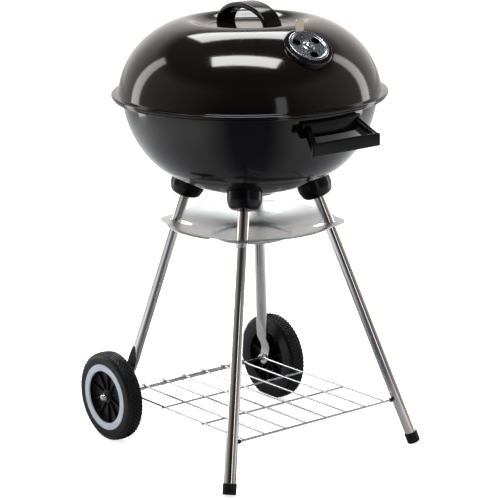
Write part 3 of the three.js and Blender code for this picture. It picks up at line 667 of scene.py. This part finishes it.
def make_side_handle():
    front = GRIP_FRONT + GRIP_THICK / 2
    plate = []
    for x, inset in ((-GRIP_HALF, 1.2), (1.2 - GRIP_HALF, 0), (GRIP_HALF - 1.2, 0), (GRIP_HALF, 1.2)):
        section = rounded_box(GRIP_THICK - 2 * inset, GRIP_TALL - 2 * inset, 1.8, 5)
        plate.append([Vector((x, front + spot.x, GRIP_Z + spot.y)) for spot in section])
    arms = []
    for side in (-1, 1):
        at_grip = Vector((side * ARM_FRONT_X, front, GRIP_Z))
        at_bowl = Vector((side * ARM_BACK.x, ARM_BACK.y, ARM_BACK.z))
        section = rounded_box(ARM_WIDE, GRIP_TALL, 1.6, 4)
        arms.append(lofted([[end + Vector((spot.x, 0, spot.y)) for spot in section]
                            for end in (at_grip, at_bowl)]))
    low, high = ARM_CUT
    wall = turned([(0, low), (BRACKET_R + GAP, low), (BRACKET_R + GAP, high), (0, high)], 256)
    show("side_handle", [lofted(plate)], handle_plastic, 40, joins=arms, cuts=[wall])

    skin = [pair for pair in bowl_outline(-GAP - 0.3) if BRACKET_LOW - 6 < pair.y < BRACKET_TOP + 6]
    low_r = radius_at(skin, BRACKET_LOW)
    top_r = radius_at(skin, BRACKET_TOP)
    inner = [pair for pair in skin if BRACKET_LOW + 1 < pair.y < BRACKET_TOP - 1][::-1]
    outline = eased([(BRACKET_R, BRACKET_LOW, 1.6), (BRACKET_R, BRACKET_TOP, 1.6), (top_r, BRACKET_TOP)]
                    + [(p.x, p.y) for p in inner] + [(low_r, BRACKET_LOW)], True, 4)
    sections = []
    for i in range(49):
        turn = -math.pi / 2 - BRACKET_HALF + 2 * BRACKET_HALF * i / 48
        sections.append([Vector((p.x * math.cos(turn), p.x * math.sin(turn), p.y)) for p in outline])
    show("side_handle_bracket", [lofted(sections)], handle_plastic, 40)

    for name, side in (("left", -1), ("right", 1)):
        screw = turned(eased([(0, 0), (4, 0, 1.2), (4, 2.5), (1.9, 2.5), (1.9, 25), (0, 25)]), 24)
        place = Matrix.Translation((side * HANDLE_SCREW_X, HANDLE_SCREW_Y, ARM_BACK.z))
        screw = moved(screw, place @ Matrix.Rotation(math.pi / 2, 4, "X"))
        show(f"side_handle_screw_{name}", [screw], fastener_steel)


# ---- Grates ----

def make_grate(node, radius, z, bars):
    reach = radius - RING_WIRE
    ring = [spot + Vector((reach, z)) for spot in circle(RING_WIRE, 12)]
    solids = [turned(ring, 128, ring=True)]
    pitch = 2 * reach / (bars + 1)
    for i in range(1, bars + 1):
        y = -reach + i * pitch
        half = math.sqrt(reach * reach - y * y) - 0.5
        solids.append(tube([(-half, y, z), (half, y, z)], GRATE_WIRE, 12))
    low = z - 2 * GRATE_WIRE - 0.2
    for side in (-1, 1):
        x = side * radius * CROSS_AT
        half = math.sqrt(reach * reach - x * x) + 1
        solids.append(tube([(x, -half, low), (x, half, low)], GRATE_WIRE, 12))
    show(node, solids, grate_wire, 50)


def make_grates():
    for node, z, bars in (("cooking_grate", COOK_Z, COOK_BARS), ("charcoal_grate", COAL_Z, COAL_BARS)):
        make_grate(node, cad(node)[1].x, z, bars)


def make_grate_brackets():
    top = COOK_Z - RING_WIRE - GAP
    low = top - GRATE_BRACKET_TALL
    wall = bowl_outline(WALL + 1.2)
    high_r = radius_at(wall, top)
    low_r = radius_at(wall, low)
    tip_r = high_r - GRATE_BRACKET_REACH
    for i, name in enumerate(("left_rear", "left_front", "right_front", "right_rear")):
        turn = 3 * math.pi / 4 + i * math.pi / 2
        outline = eased([(high_r, top), (tip_r, top, 0.8), (tip_r, top - 2, 0.8), (high_r - 3, top - 2, 2),
                         (low_r - 2.2, low, 0.5), (low_r - 0.2, low, 0.5)], True, 4)
        out = Vector((math.cos(turn), math.sin(turn), 0))
        across = Vector((-out.y, out.x, 0))
        sections = []
        for shift in (-8, -7.6, 7.6, 8):
            sections.append([out * p.x + Vector((0, 0, p.y)) + across * shift for p in outline])
        show(f"grate_bracket_{name}", [lofted(sections)], zinc_sheet)


# ---- Legs ----

def leg_spread(y):
    return FRONT_SPREAD if y < 0 else REAR_SPREAD


def along_leg(x, y):
    """From a piece made about Z, with the origin at LEG_TOP, to the axis of one leg."""
    spread = leg_spread(y)
    up = Vector((-x * spread.x, -y * spread.y, 1)).normalized()
    turn = Vector((0, 0, 1)).rotation_difference(up).to_matrix().to_4x4()
    return Matrix.Translation((x * LEG_TOP.x, y * LEG_TOP.y, LEG_TOP.z)) @ turn


def leg_point(x, y, z):
    drop = LEG_TOP.z - z
    spread = leg_spread(y)
    return Vector((x * (LEG_TOP.x + spread.x * drop), y * (LEG_TOP.y + spread.y * drop), z))


def corner_name(x, y):
    return ("left" if x < 0 else "right") + ("_front" if y < 0 else "_rear")


def bowl_room(margin):
    """The room the bowl takes, for cutting what is fastened against it."""
    skin = bowl_outline(-margin)
    skin[0].x = 0
    return turned([*skin, (skin[-1].x, RIM_Z), (0, RIM_Z)], 128)


def make_socket(x, y):
    bore = LEG_R + GAP
    outline = eased([(bore, -SOCKET_LOW, 0.5), (SOCKET_R - 5, -SOCKET_LOW, 9),
                     (SOCKET_R, -SOCKET_LOW + 15, 16), (SOCKET_R, SOCKET_HIGH), (BOLT_R + GAP, SOCKET_HIGH),
                     (BOLT_R + GAP, PLUG_TOP + GAP), (bore, PLUG_TOP + GAP)], True, 8)
    cup = moved(turned(outline, 64, ring=True), along_leg(x, y))
    show(f"leg_socket_{corner_name(x, y)}", [cup], socket_plastic, 40, cuts=[bowl_room(GAP + 0.2)])


def make_leg_bolt(x, y):
    end = PLUG_TOP - 15
    washer = BOLT_HEAD + 1.5
    shank = turned(eased([(0, end), (BOLT_R, end, 0.6), (BOLT_R, BOLT_HEAD), (8, BOLT_HEAD, 0.3),
                          (8, washer, 0.5), (0, washer)]), 32)
    hexagon = slab(circle(5.5, 6), washer, BOLT_HEAD + 5, 0.5)
    solids = [moved(s, along_leg(x, y)) for s in (shank, hexagon)]
    show(f"leg_bolt_{corner_name(x, y)}", solids, fastener_steel)


def make_front_leg(x):
    end = -LEG_LONG + 3.2
    outline = eased([(LEG_BORE_R, end), (LEG_R, end), (LEG_R, PLUG_TOP, 1), (LEG_BORE_R, PLUG_TOP)],
                    True, 3)
    leg = moved(turned(outline, 56, ring=True), along_leg(x, -1))
    show(f"leg_{corner_name(x, -1)}", [leg], leg_chrome)


def make_foot_cap(x):
    end = -LEG_LONG
    outline = eased([(0, end), (CAP_R - 0.4, end, 1.6), (CAP_R, end + CAP_LONG, 1.2),
                     (LEG_R + GAP, end + CAP_LONG, 0.4), (LEG_R + GAP, end + 2.9), (0, end + 2.9)])
    points, faces = moved(turned(outline, 64), along_leg(x, -1))
    for point in points:
        point.z = max(point.z, 0)
    show(f"foot_cap_{corner_name(x, -1)}", [(points, faces)], cap_rubber, 40)


def smooth(value):
    """From 0 to 1 with a soft start and end."""
    value = min(1, max(0, value))
    return value * value * (3 - 2 * value)


def wheel_leg_section(x, z, shrink):
    """The crushed tube's section: a circle cut off by two flats that close in, growing broader."""
    crushed = (FLAT_TOP_Z - z) / (FLAT_TOP_Z - FLAT_LOW_Z)
    axis = leg_point(x, 1, z)
    half = LEG_R + (TAB_HALF - LEG_R) * min(1, max(0, crushed))
    taper = smooth((FLAT_LOW_Z - z) / (FLAT_LOW_Z - AXLE_Z))
    broad = LEG_R + (TAB_WIDE - LEG_R) * smooth(crushed) - (TAB_WIDE - TAB_END_R) * taper
    bent = smooth((BEND_TOP_Z - z) / (BEND_TOP_Z - BEND_LOW_Z))
    middle = axis.x + (x * TAB_X - axis.x) * bent
    section = []
    for spot in circle(1, 56):
        section.append(Vector((middle + min(half, max(-half, spot.x * LEG_R)) * shrink[0],
                               axis.y + spot.y * broad * shrink[1], z)))
    return section


def make_wheel_leg(x):
    top = LEG_TOP.z + PLUG_TOP
    sections = [wheel_leg_section(x, top, (0.9, 0.9)), wheel_leg_section(x, top - 1, (1, 1))]
    z = CRUSHED_Z
    while z > BEND_LOW_Z - 4:
        sections.append(wheel_leg_section(x, z, (1, 1)))
        z -= CRUSHED_STEP
    sections.append(wheel_leg_section(x, AXLE_Z + 8, (1, 1)))
    sections.append(wheel_leg_section(x, AXLE_Z, (1, 1)))
    for i in range(1, 13):
        turn = i * math.pi / 24
        shrink = max(0.04, math.cos(turn))
        sections.append(wheel_leg_section(x, AXLE_Z - TAB_END_R * math.sin(turn), (1, shrink)))
    show(f"leg_{corner_name(x, 1)}", [lofted(sections)], leg_chrome, 30)


def make_legs():
    for x, y in CORNERS:
        make_socket(x, y)
        make_leg_bolt(x, y)
    for x in (-1, 1):
        make_front_leg(x)
        make_foot_cap(x)
        make_wheel_leg(x)


# ---- Wheels ----

def on_axle(x):
    """From a piece turned about Z, +Z facing outwards, to one wheel's centre."""
    turn = Matrix.Rotation(x * math.pi / 2, 4, "Y")
    return Matrix.Translation((x * WHEEL_X, AXLE_Y, AXLE_Z)) @ turn


def lug(column, row):
    """One wedge of the tread: low at its leading edge and high at its trailing edge."""
    width = 2 * (WHEEL_HALF - TREAD_MARGIN) / LUG_COLUMNS
    low_z = -WHEEL_HALF + TREAD_MARGIN + column * width + LUG_GAP / 2
    high_z = low_z + width - LUG_GAP
    pitch = 2 * math.pi / LUGS_ROUND
    start = (row + 0.5 * (column % 2)) * pitch
    crown = 0.5 * abs(column - (LUG_COLUMNS - 1) / 2) ** 2 / 2
    base = TREAD_R - 3.6
    ring = []
    top = TREAD_R - crown
    for share, radius in ((0.08, base), (0.16, top - 1.3), (0.84, top - 0.1), (0.95, base)):
        turn = start + share * pitch
        ring.append(Vector((radius * math.cos(turn), radius * math.sin(turn))))
    return lofted([[Vector((p.x, p.y, z)) for p in ring] for z in (low_z, high_z)])


def make_wheel(x):
    side = "left" if x < 0 else "right"
    w = WHEEL_HALF
    tread = TREAD_R - 1.9
    outline = eased([
        (AXLE_R + GAP, -w, 0.3), (HUB_R - 1, -w, 1), (HUB_R, -3, 1), (RECESS_R, -3, 1.5),
        (RECESS_R + 1, -w + 0.6, 1.5), (BAND_R, -w, 1.5), (TREAD_R - 7, -w, 5), (tread, -w + 4.5, 4),
        (tread, w - 4.5, 4), (TREAD_R - 7, w, 5), (BAND_R + GAP, w, 0.6), (BAND_R + GAP, w - 2.5),
        (RECESS_R, w - 2.5, 0.6), (RECESS_R, WEB_OUT, 1.5), (HUB_R, WEB_OUT, 1), (HUB_R - 1, HUB_OUT, 1),
        (AXLE_R + GAP, HUB_OUT, 0.3),
    ], True, 6)
    solids = [turned(outline, 128, ring=True)]
    for i in range(RIBS):
        turn = Matrix.Rotation(i * 2 * math.pi / RIBS, 4, "Z")
        length = RECESS_R - HUB_R + 3
        rib = slab(rounded_box(length, 1.7, 0.4, 2), -w + 4, RIB_OUT, 0.4)
        solids.append(moved(shifted(rib, (RECESS_R + HUB_R) / 2, 0, 0), turn))
    for column in range(LUG_COLUMNS):
        for row in range(LUGS_ROUND):
            solids.append(lug(column, row))
    show(f"{side}_wheel", [moved(s, on_axle(x)) for s in solids], wheel_plastic, 32)

    band = eased([(RECESS_R + GAP, w - 2.2), (BAND_R, w - 2.2), (BAND_R, w + 0.5, 0.8),
                  (RECESS_R + GAP, w + 0.5, 0.8)], True, 4)
    show(f"{side}_wheel_band", [moved(turned(band, 128, ring=True), on_axle(x))], wheel_white)

    bore = AXLE_R + GAP
    low = TAB_X + TAB_HALF + GAP - WHEEL_X
    high = -w - GAP
    spacer = eased([(bore, low), (SPACER_R, low, 0.6), (SPACER_R, high, 0.6), (bore, high)], True, 3)
    show(f"{side}_wheel_spacer", [moved(turned(spacer, 40, ring=True), on_axle(x))], zinc_sheet)

    nut = HUB_OUT + GAP
    dome = turned(eased([(0, nut + 2), (6, nut + 2), (6, nut + 6.5, 2.5), (4.6, nut + 10.4, 3.4),
                         (0, nut + 11)]), 40)
    hexagon = slab(circle(7.4, 6), nut, nut + 6, 0.6)
    show(f"{side}_axle_nut", [moved(dome, on_axle(x)), moved(hexagon, on_axle(x))], fastener_steel)


def make_axle():
    half = AXLE_HIGH.x
    bar = eased([(0, -half), (AXLE_R, -half, 0.8), (AXLE_R, half, 0.8), (0, half)])
    place = Matrix.Translation((0, AXLE_Y, AXLE_Z)) @ Matrix.Rotation(math.pi / 2, 4, "Y")
    show("axle", [moved(turned(bar, 40), place)], shelf_wire)


# ---- Shelf ----

def shelf_path(x):
    """One long wire: straight along Y, then rising to a hook over the axle."""
    path = [(x, SHELF_FRONT, SHELF_Z), (x, 0, SHELF_Z), (x, AXLE_Y - 24, SHELF_Z),
            (x, AXLE_Y - 16, SHELF_Z + 0.3), (x, AXLE_Y - 11, SHELF_Z + 2.2)]
    for i in range(HOOK_STEPS + 1):
        turn = HOOK_START - HOOK_SWEEP * i / HOOK_STEPS
        path.append((x, AXLE_Y + HOOK_R * math.cos(turn), AXLE_Z + HOOK_R * math.sin(turn)))
    return path


def make_shelf():
    solids = []
    for i in range(SHELF_WIRES):
        x = -SHELF_HALF + i * 2 * SHELF_HALF / (SHELF_WIRES - 1)
        solids.append(tube(shelf_path(x), SHELF_WIRE, 14))
    low = SHELF_Z - 1.6
    for y in CROSS_WIRES:
        solids.append(tube([(-SHELF_HALF - 3, y, low), (SHELF_HALF + 3, y, low)], SHELF_WIRE, 14))
    reach = leg_point(1, -1, SHELF_Z).x - 1
    front = [(-reach, SHELF_FRONT, SHELF_Z), (reach, SHELF_FRONT, SHELF_Z)]
    solids.append(tube(front, SHELF_WIRE + 0.2, 14))
    show("wire_shelf", solids, shelf_wire, 40)
    for name in ("left", "right"):
        low_x, high_x = (corner.x for corner in cad(f"shelf_bush_{name}"))
        bore = SHELF_WIRE + 0.5
        bush = eased([(bore, low_x), (3.6, low_x, 0.8), (3.6, high_x, 0.8), (bore, high_x)], True, 3)
        place = Matrix.Translation((0, SHELF_FRONT, SHELF_Z)) @ Matrix.Rotation(math.pi / 2, 4, "Y")
        show(f"shelf_bush_{name}", [moved(turned(bush, 32, ring=True), place)], cap_rubber)


# ---- Ash plate ----

def slot_outline(run, half, length):
    """A slot with round ends, from run - length to run along +X."""
    made = []
    for i in range(33):
        turn = -math.pi / 2 + math.pi * i / 32
        made.append(Vector((run + half * math.cos(turn), half * math.sin(turn))))
    for i in range(33):
        turn = math.pi / 2 + math.pi * i / 32
        made.append(Vector((run - length + half * math.cos(turn), half * math.sin(turn))))
    return made


def plate_cutter(outline):
    """A block through the ash plate, from its outline in plan."""
    heights = (PLATE_Z - CUT_DEPTH, PLATE_Z + CUT_DEPTH)
    return lofted([[Vector((p.x, p.y, z)) for p in outline] for z in heights])


def hook_mouth(way):
    """The mouth beside the rear right leg (way 1) or the front left leg (way -1), from its corners."""
    outline = eased([(92, 40, 6), (174, 66), (160, 98), (118, 80, 10), (96, 92, 8), (78, 72, 10)], True, 6)
    mouth = plate_cutter(outline)
    return mouth if way > 0 else moved(mouth, Matrix.Rotation(math.pi, 4, "Z"))


def lobe_outline(run):
    """A lobe on +X: the part of a circle that lies outside the dish."""
    inner = math.acos((LOBE_ROOT ** 2 + run ** 2 - LOBE_R ** 2) / (2 * LOBE_ROOT * run))
    outer = math.atan2(LOBE_ROOT * math.sin(inner), LOBE_ROOT * math.cos(inner) - run)
    made = []
    for i in range(49):
        turn = -outer + 2 * outer * i / 48
        made.append(Vector((run + LOBE_R * math.cos(turn), LOBE_R * math.sin(turn))))
    for i in range(1, 16):
        turn = inner - 2 * inner * i / 16
        made.append(Vector((LOBE_ROOT * math.cos(turn), LOBE_ROOT * math.sin(turn))))
    return made


def make_ash_plate():
    t = PLATE_THICK
    r = DISH_FLOOR_R
    low = DISH_FLOOR_Z - 6
    dish = eased([(0, low + t), (r - 5.4, low + t, 3), (r, DISH_FLOOR_Z + t, 3),
                  (PLATE_R - 8.3, PLATE_Z + t, 8), (PLATE_R, PLATE_Z + t, 0.4), (PLATE_R, PLATE_Z, 0.4),
                  (PLATE_R - 8, PLATE_Z, 8), (r, DISH_FLOOR_Z, 3), (r - 5, low, 3), (0, low)])
    lobes, slots = [], []
    for x, y in CORNERS:
        at = leg_point(x, y, PLATE_Z)
        run = math.hypot(at.x, at.y)
        to_leg = Matrix.Rotation(math.atan2(at.y, at.x), 4, "Z")
        lobe = slab(lobe_outline(LOBE_IN * run), PLATE_Z, PLATE_Z + t, 0.3)
        lobes.append(moved(lobe, to_leg))
        outline = slot_outline(run, SLOT_HALF, SLOT_IN)
        slot = plate_cutter(outline)
        slots.append(moved(slot, to_leg))
    cuts = [*slots, hook_mouth(1), hook_mouth(-1)]
    show("ash_plate", [turned(dish)], zinc_sheet, joins=lobes, cuts=cuts)


# ---- Camera, lights and floor ----

CAMERA_TURN = math.radians(-38.24)
CAMERA_RUN = 3.6989
CAMERA_HEIGHT = 1.2897
CAMERA_AIM = Vector((-0.002536, 0.001993, 0.330414))
CAMERA_ROLL = math.radians(-0.8)
LENS = 167.47
RIGHT = Vector((math.cos(CAMERA_TURN), math.sin(CAMERA_TURN), 0))
BACK = Vector((-math.sin(CAMERA_TURN), math.cos(CAMERA_TURN), 0))
BACKDROP = 1.05
AMBIENT = 0.45
FLOOR_GLOW = 0.86
# Name, place to the right, back and up, width, height, radiance, and the height it faces
LIGHTS = [
    ("top_box", -0.07, -0.46, 2.4, 1.45, 0.5, 17, 0.7),
    ("rear_box", -0.05, 1.25, 2.4, 1.5, 0.7, 8, 0.7),
    ("left_strip", -1.6, 0.63, 1.0, 0.36, 2.0, 3.6, 1.0),
    ("right_strip", 1.57, 0.68, 1.0, 0.36, 2.0, 3.4, 1.0),
    ("front_strip", 0.85, -1.75, 0.65, 0.3, 1.4, 1.5, 0.7),
]
# What glossy surfaces mirror of the room: brightness from the front (0) to the back (1) and by
# height, and its tint
ROOM_AROUND = [(0.0, 0.015), (0.07, 0.02), (0.25, 0.25), (0.5, 0.42), (0.75, 0.5), (0.9, 0.85),
               (0.95, 1.15)]
ROOM_UP = [(0.0, 1.0), (0.5, 1.0), (0.66, 0.12), (1.0, 0.12)]
ROOM_TINT = (1.05, 0.98, 0.93)
FLOOR_DARK = (0.04, 0.045, 0.06, 1)  # painted shade: the floor as glossy surfaces mirror it, in the grill's shadow and away from the lamps
# painted light: the floor as glossy surfaces mirror it where the lamps light it
FLOOR_PALE = (0.5, 0.505, 0.515, 1)
FLOOR_NEAR = 2000  # radii of the floor's inner disc and outer edge, in millimetres
FLOOR_FAR = 14000
FLOOR_SINK = 0.0002


def make_camera():
    camera = bpy.data.objects.new("camera", bpy.data.cameras.new("camera"))
    bpy.context.scene.collection.objects.link(camera)
    camera.location = BACK * -CAMERA_RUN + Vector((0, 0, CAMERA_HEIGHT))
    way = CAMERA_AIM - camera.location
    roll = Matrix.Rotation(CAMERA_ROLL, 4, "Z").to_quaternion()
    camera.rotation_mode = "QUATERNION"
    camera.rotation_quaternion = way.to_track_quat("-Z", "Y") @ roll
    camera.data.lens = LENS
    camera.data.sensor_width = 36
    camera.data.clip_end = 100
    bpy.context.scene.camera = camera


def softbox(name, right, back, height, wide, tall, radiance, aim_height):
    """A rectangular light placed by the camera's right and back directions, facing the Z axis."""
    lamp = bpy.data.lights.new(name, "AREA")
    lamp.shape = "RECTANGLE"
    lamp.size = wide
    lamp.size_y = tall
    lamp.energy = 4 * wide * tall * radiance
    holder = bpy.data.objects.new(name, lamp)
    bpy.context.scene.collection.objects.link(holder)
    holder.location = RIGHT * right + BACK * back + Vector((0, 0, height))
    way = Vector((0, 0, aim_height)) - holder.location
    holder.rotation_mode = "QUATERNION"
    holder.rotation_quaternion = way.to_track_quat("-Z", "Y")
    holder.visible_camera = False


def make_lights():
    for light in LIGHTS:
        softbox(*light)


def make_world():
    """Pale to the camera. To the surfaces, a white wall behind, grey sides and a dark front."""
    world = bpy.data.worlds.new("studio")
    bpy.context.scene.world = world
    world.use_nodes = True
    tree = world.node_tree
    nodes, links = tree.nodes, tree.links
    nodes.clear()
    place = nodes.new("ShaderNodeTexCoord")
    facing = nodes.new("ShaderNodeVectorMath")
    facing.operation = "DOT_PRODUCT"
    facing.inputs[1].default_value = BACK
    links.new(place.outputs["Generated"], facing.inputs[0])
    spread = nodes.new("ShaderNodeMapRange")
    spread.inputs["From Min"].default_value = -1
    links.new(facing.outputs["Value"], spread.inputs["Value"])
    round_ramp = nodes.new("ShaderNodeValToRGB")
    fill_ramp(round_ramp, ROOM_AROUND)
    links.new(spread.outputs["Result"], round_ramp.inputs["Fac"])
    split = nodes.new("ShaderNodeSeparateXYZ")
    links.new(place.outputs["Generated"], split.inputs["Vector"])
    high_ramp = nodes.new("ShaderNodeValToRGB")
    fill_ramp(high_ramp, ROOM_UP)
    links.new(split.outputs["Z"], high_ramp.inputs["Fac"])
    warm = nodes.new("ShaderNodeVectorMath")
    warm.operation = "MULTIPLY"
    warm.inputs[1].default_value = ROOM_TINT
    links.new(round_ramp.outputs["Color"], warm.inputs[0])
    both = nodes.new("ShaderNodeVectorMath")
    both.operation = "MULTIPLY"
    links.new(warm.outputs["Vector"], both.inputs[0])
    links.new(high_ramp.outputs["Color"], both.inputs[1])
    room = nodes.new("ShaderNodeBackground")
    links.new(both.outputs["Vector"], room.inputs["Color"])
    plain = nodes.new("ShaderNodeBackground")
    plain.inputs["Color"].default_value = (1, 1, 1, 1)
    ray = nodes.new("ShaderNodeLightPath")
    strength = nodes.new("ShaderNodeMapRange")
    strength.inputs["To Min"].default_value = AMBIENT
    strength.inputs["To Max"].default_value = BACKDROP
    links.new(ray.outputs["Is Camera Ray"], strength.inputs["Value"])
    links.new(strength.outputs["Result"], plain.inputs["Strength"])
    mix = nodes.new("ShaderNodeMixShader")
    links.new(ray.outputs["Is Glossy Ray"], mix.inputs["Fac"])
    links.new(plain.outputs["Background"], mix.inputs[1])
    links.new(room.outputs["Background"], mix.inputs[2])
    out = nodes.new("ShaderNodeOutputWorld")
    links.new(mix.outputs["Shader"], out.inputs["Surface"])


def fill_ramp(node, stops):
    ramp = node.color_ramp
    while len(ramp.elements) < len(stops):
        ramp.elements.new(0.5)
    for element, (position, value) in zip(ramp.elements, stops):
        element.position = position
        element.color = (value, value, value, 1)


def floor_measure(nodes, operation, direction=None):
    """How far a spot of the floor lies from the grill, or along one direction, in metres."""
    node = nodes.add("ShaderNodeVectorMath", operation=operation)
    nodes.link(nodes.place, node.inputs[0])
    if direction:
        node.inputs[1].default_value = direction
    return node.outputs["Value"]


def scaled(nodes, value, old, new):
    node = nodes.add("ShaderNodeMapRange")
    for name, bound in zip(("From Min", "From Max", "To Min", "To Max"), old + new):
        node.inputs[name].default_value = bound
    nodes.link(value, node.inputs["Value"])
    return node.outputs["Result"]


def combined(nodes, operation, first, second):
    node = nodes.add("ShaderNodeMath", operation=operation)
    nodes.link(first, node.inputs[0])
    nodes.link(second, node.inputs[1])
    return node.outputs["Value"]


def make_floor():
    disc = turned([(0, 0), (FLOOR_NEAR, 0), (FLOOR_FAR, 0)], 96)
    floor = bpy.data.objects.new("floor", mesh_from("floor", [disc]))
    bpy.context.scene.collection.objects.link(floor)
    nodes = Nodes("floor_paper")
    paper = nodes.add("ShaderNodeMix", data_type="RGBA")
    nodes.tint(nodes.noise(3, 2.0), (0.86, 0.86, 0.86), (0.88, 0.88, 0.88), paper.inputs[6])
    # Painted light and shade on the floor that glossy surfaces mirror: pale behind and beside the grill,
    # where the lamps fall, and dark in front of and close to the grill, standing in for its shadow
    behind = scaled(nodes, floor_measure(nodes, "DOT_PRODUCT", BACK), (-0.3, 0.3), (0, 1))
    beside = nodes.add("ShaderNodeMath", operation="ABSOLUTE")
    nodes.link(floor_measure(nodes, "DOT_PRODUCT", RIGHT), beside.inputs[0])
    run = floor_measure(nodes, "LENGTH")
    aside = scaled(nodes, combined(nodes, "DIVIDE", beside.outputs["Value"], run), (0.3, 0.75), (0, 1))
    lit = combined(nodes, "MAXIMUM", behind, aside)
    far = scaled(nodes, run, (0.25, 1.1), (0.3, 1))
    mirrored = nodes.add("ShaderNodeValToRGB")
    mirrored.color_ramp.elements[0].color = FLOOR_DARK
    mirrored.color_ramp.elements[1].color = FLOOR_PALE
    nodes.link(combined(nodes, "MULTIPLY", lit, far), mirrored.inputs["Fac"])
    nodes.link(mirrored.outputs["Color"], paper.inputs[7])
    ray = nodes.add("ShaderNodeLightPath")
    nodes.link(ray.outputs["Is Glossy Ray"], paper.inputs["Factor"])
    nodes.link(paper.outputs[2], nodes.shader.inputs["Base Color"])
    # The floor glows evenly for camera rays, and for glossy rays with its painted light and shade
    glow = nodes.add("ShaderNodeMapRange")
    glow.inputs["To Max"].default_value = FLOOR_GLOW
    nodes.link(combined(nodes, "MAXIMUM", ray.outputs["Is Camera Ray"], ray.outputs["Is Glossy Ray"]),
               glow.inputs["Value"])
    nodes.link(glow.outputs["Result"], nodes.shader.inputs["Emission Strength"])
    nodes.link(paper.outputs[2], nodes.shader.inputs["Emission Color"])
    nodes.shader.inputs["Roughness"].default_value = 0.9
    nodes.shader.inputs["Specular IOR Level"].default_value = 0.1
    floor.data.materials.append(nodes.material)
    floor.location.z = -FLOOR_SINK


make_camera()
make_lights()
make_world()
make_floor()
make_lid()
make_lid_damper()
make_lid_handle()
make_bowl()
make_bowl_damper()
make_side_handle()
make_grates()
make_grate_brackets()
make_legs()
make_axle()
make_wheel(-1)
make_wheel(1)
make_shelf()
make_ash_plate()
bpy.context.scene.view_settings.view_transform = "Standard"
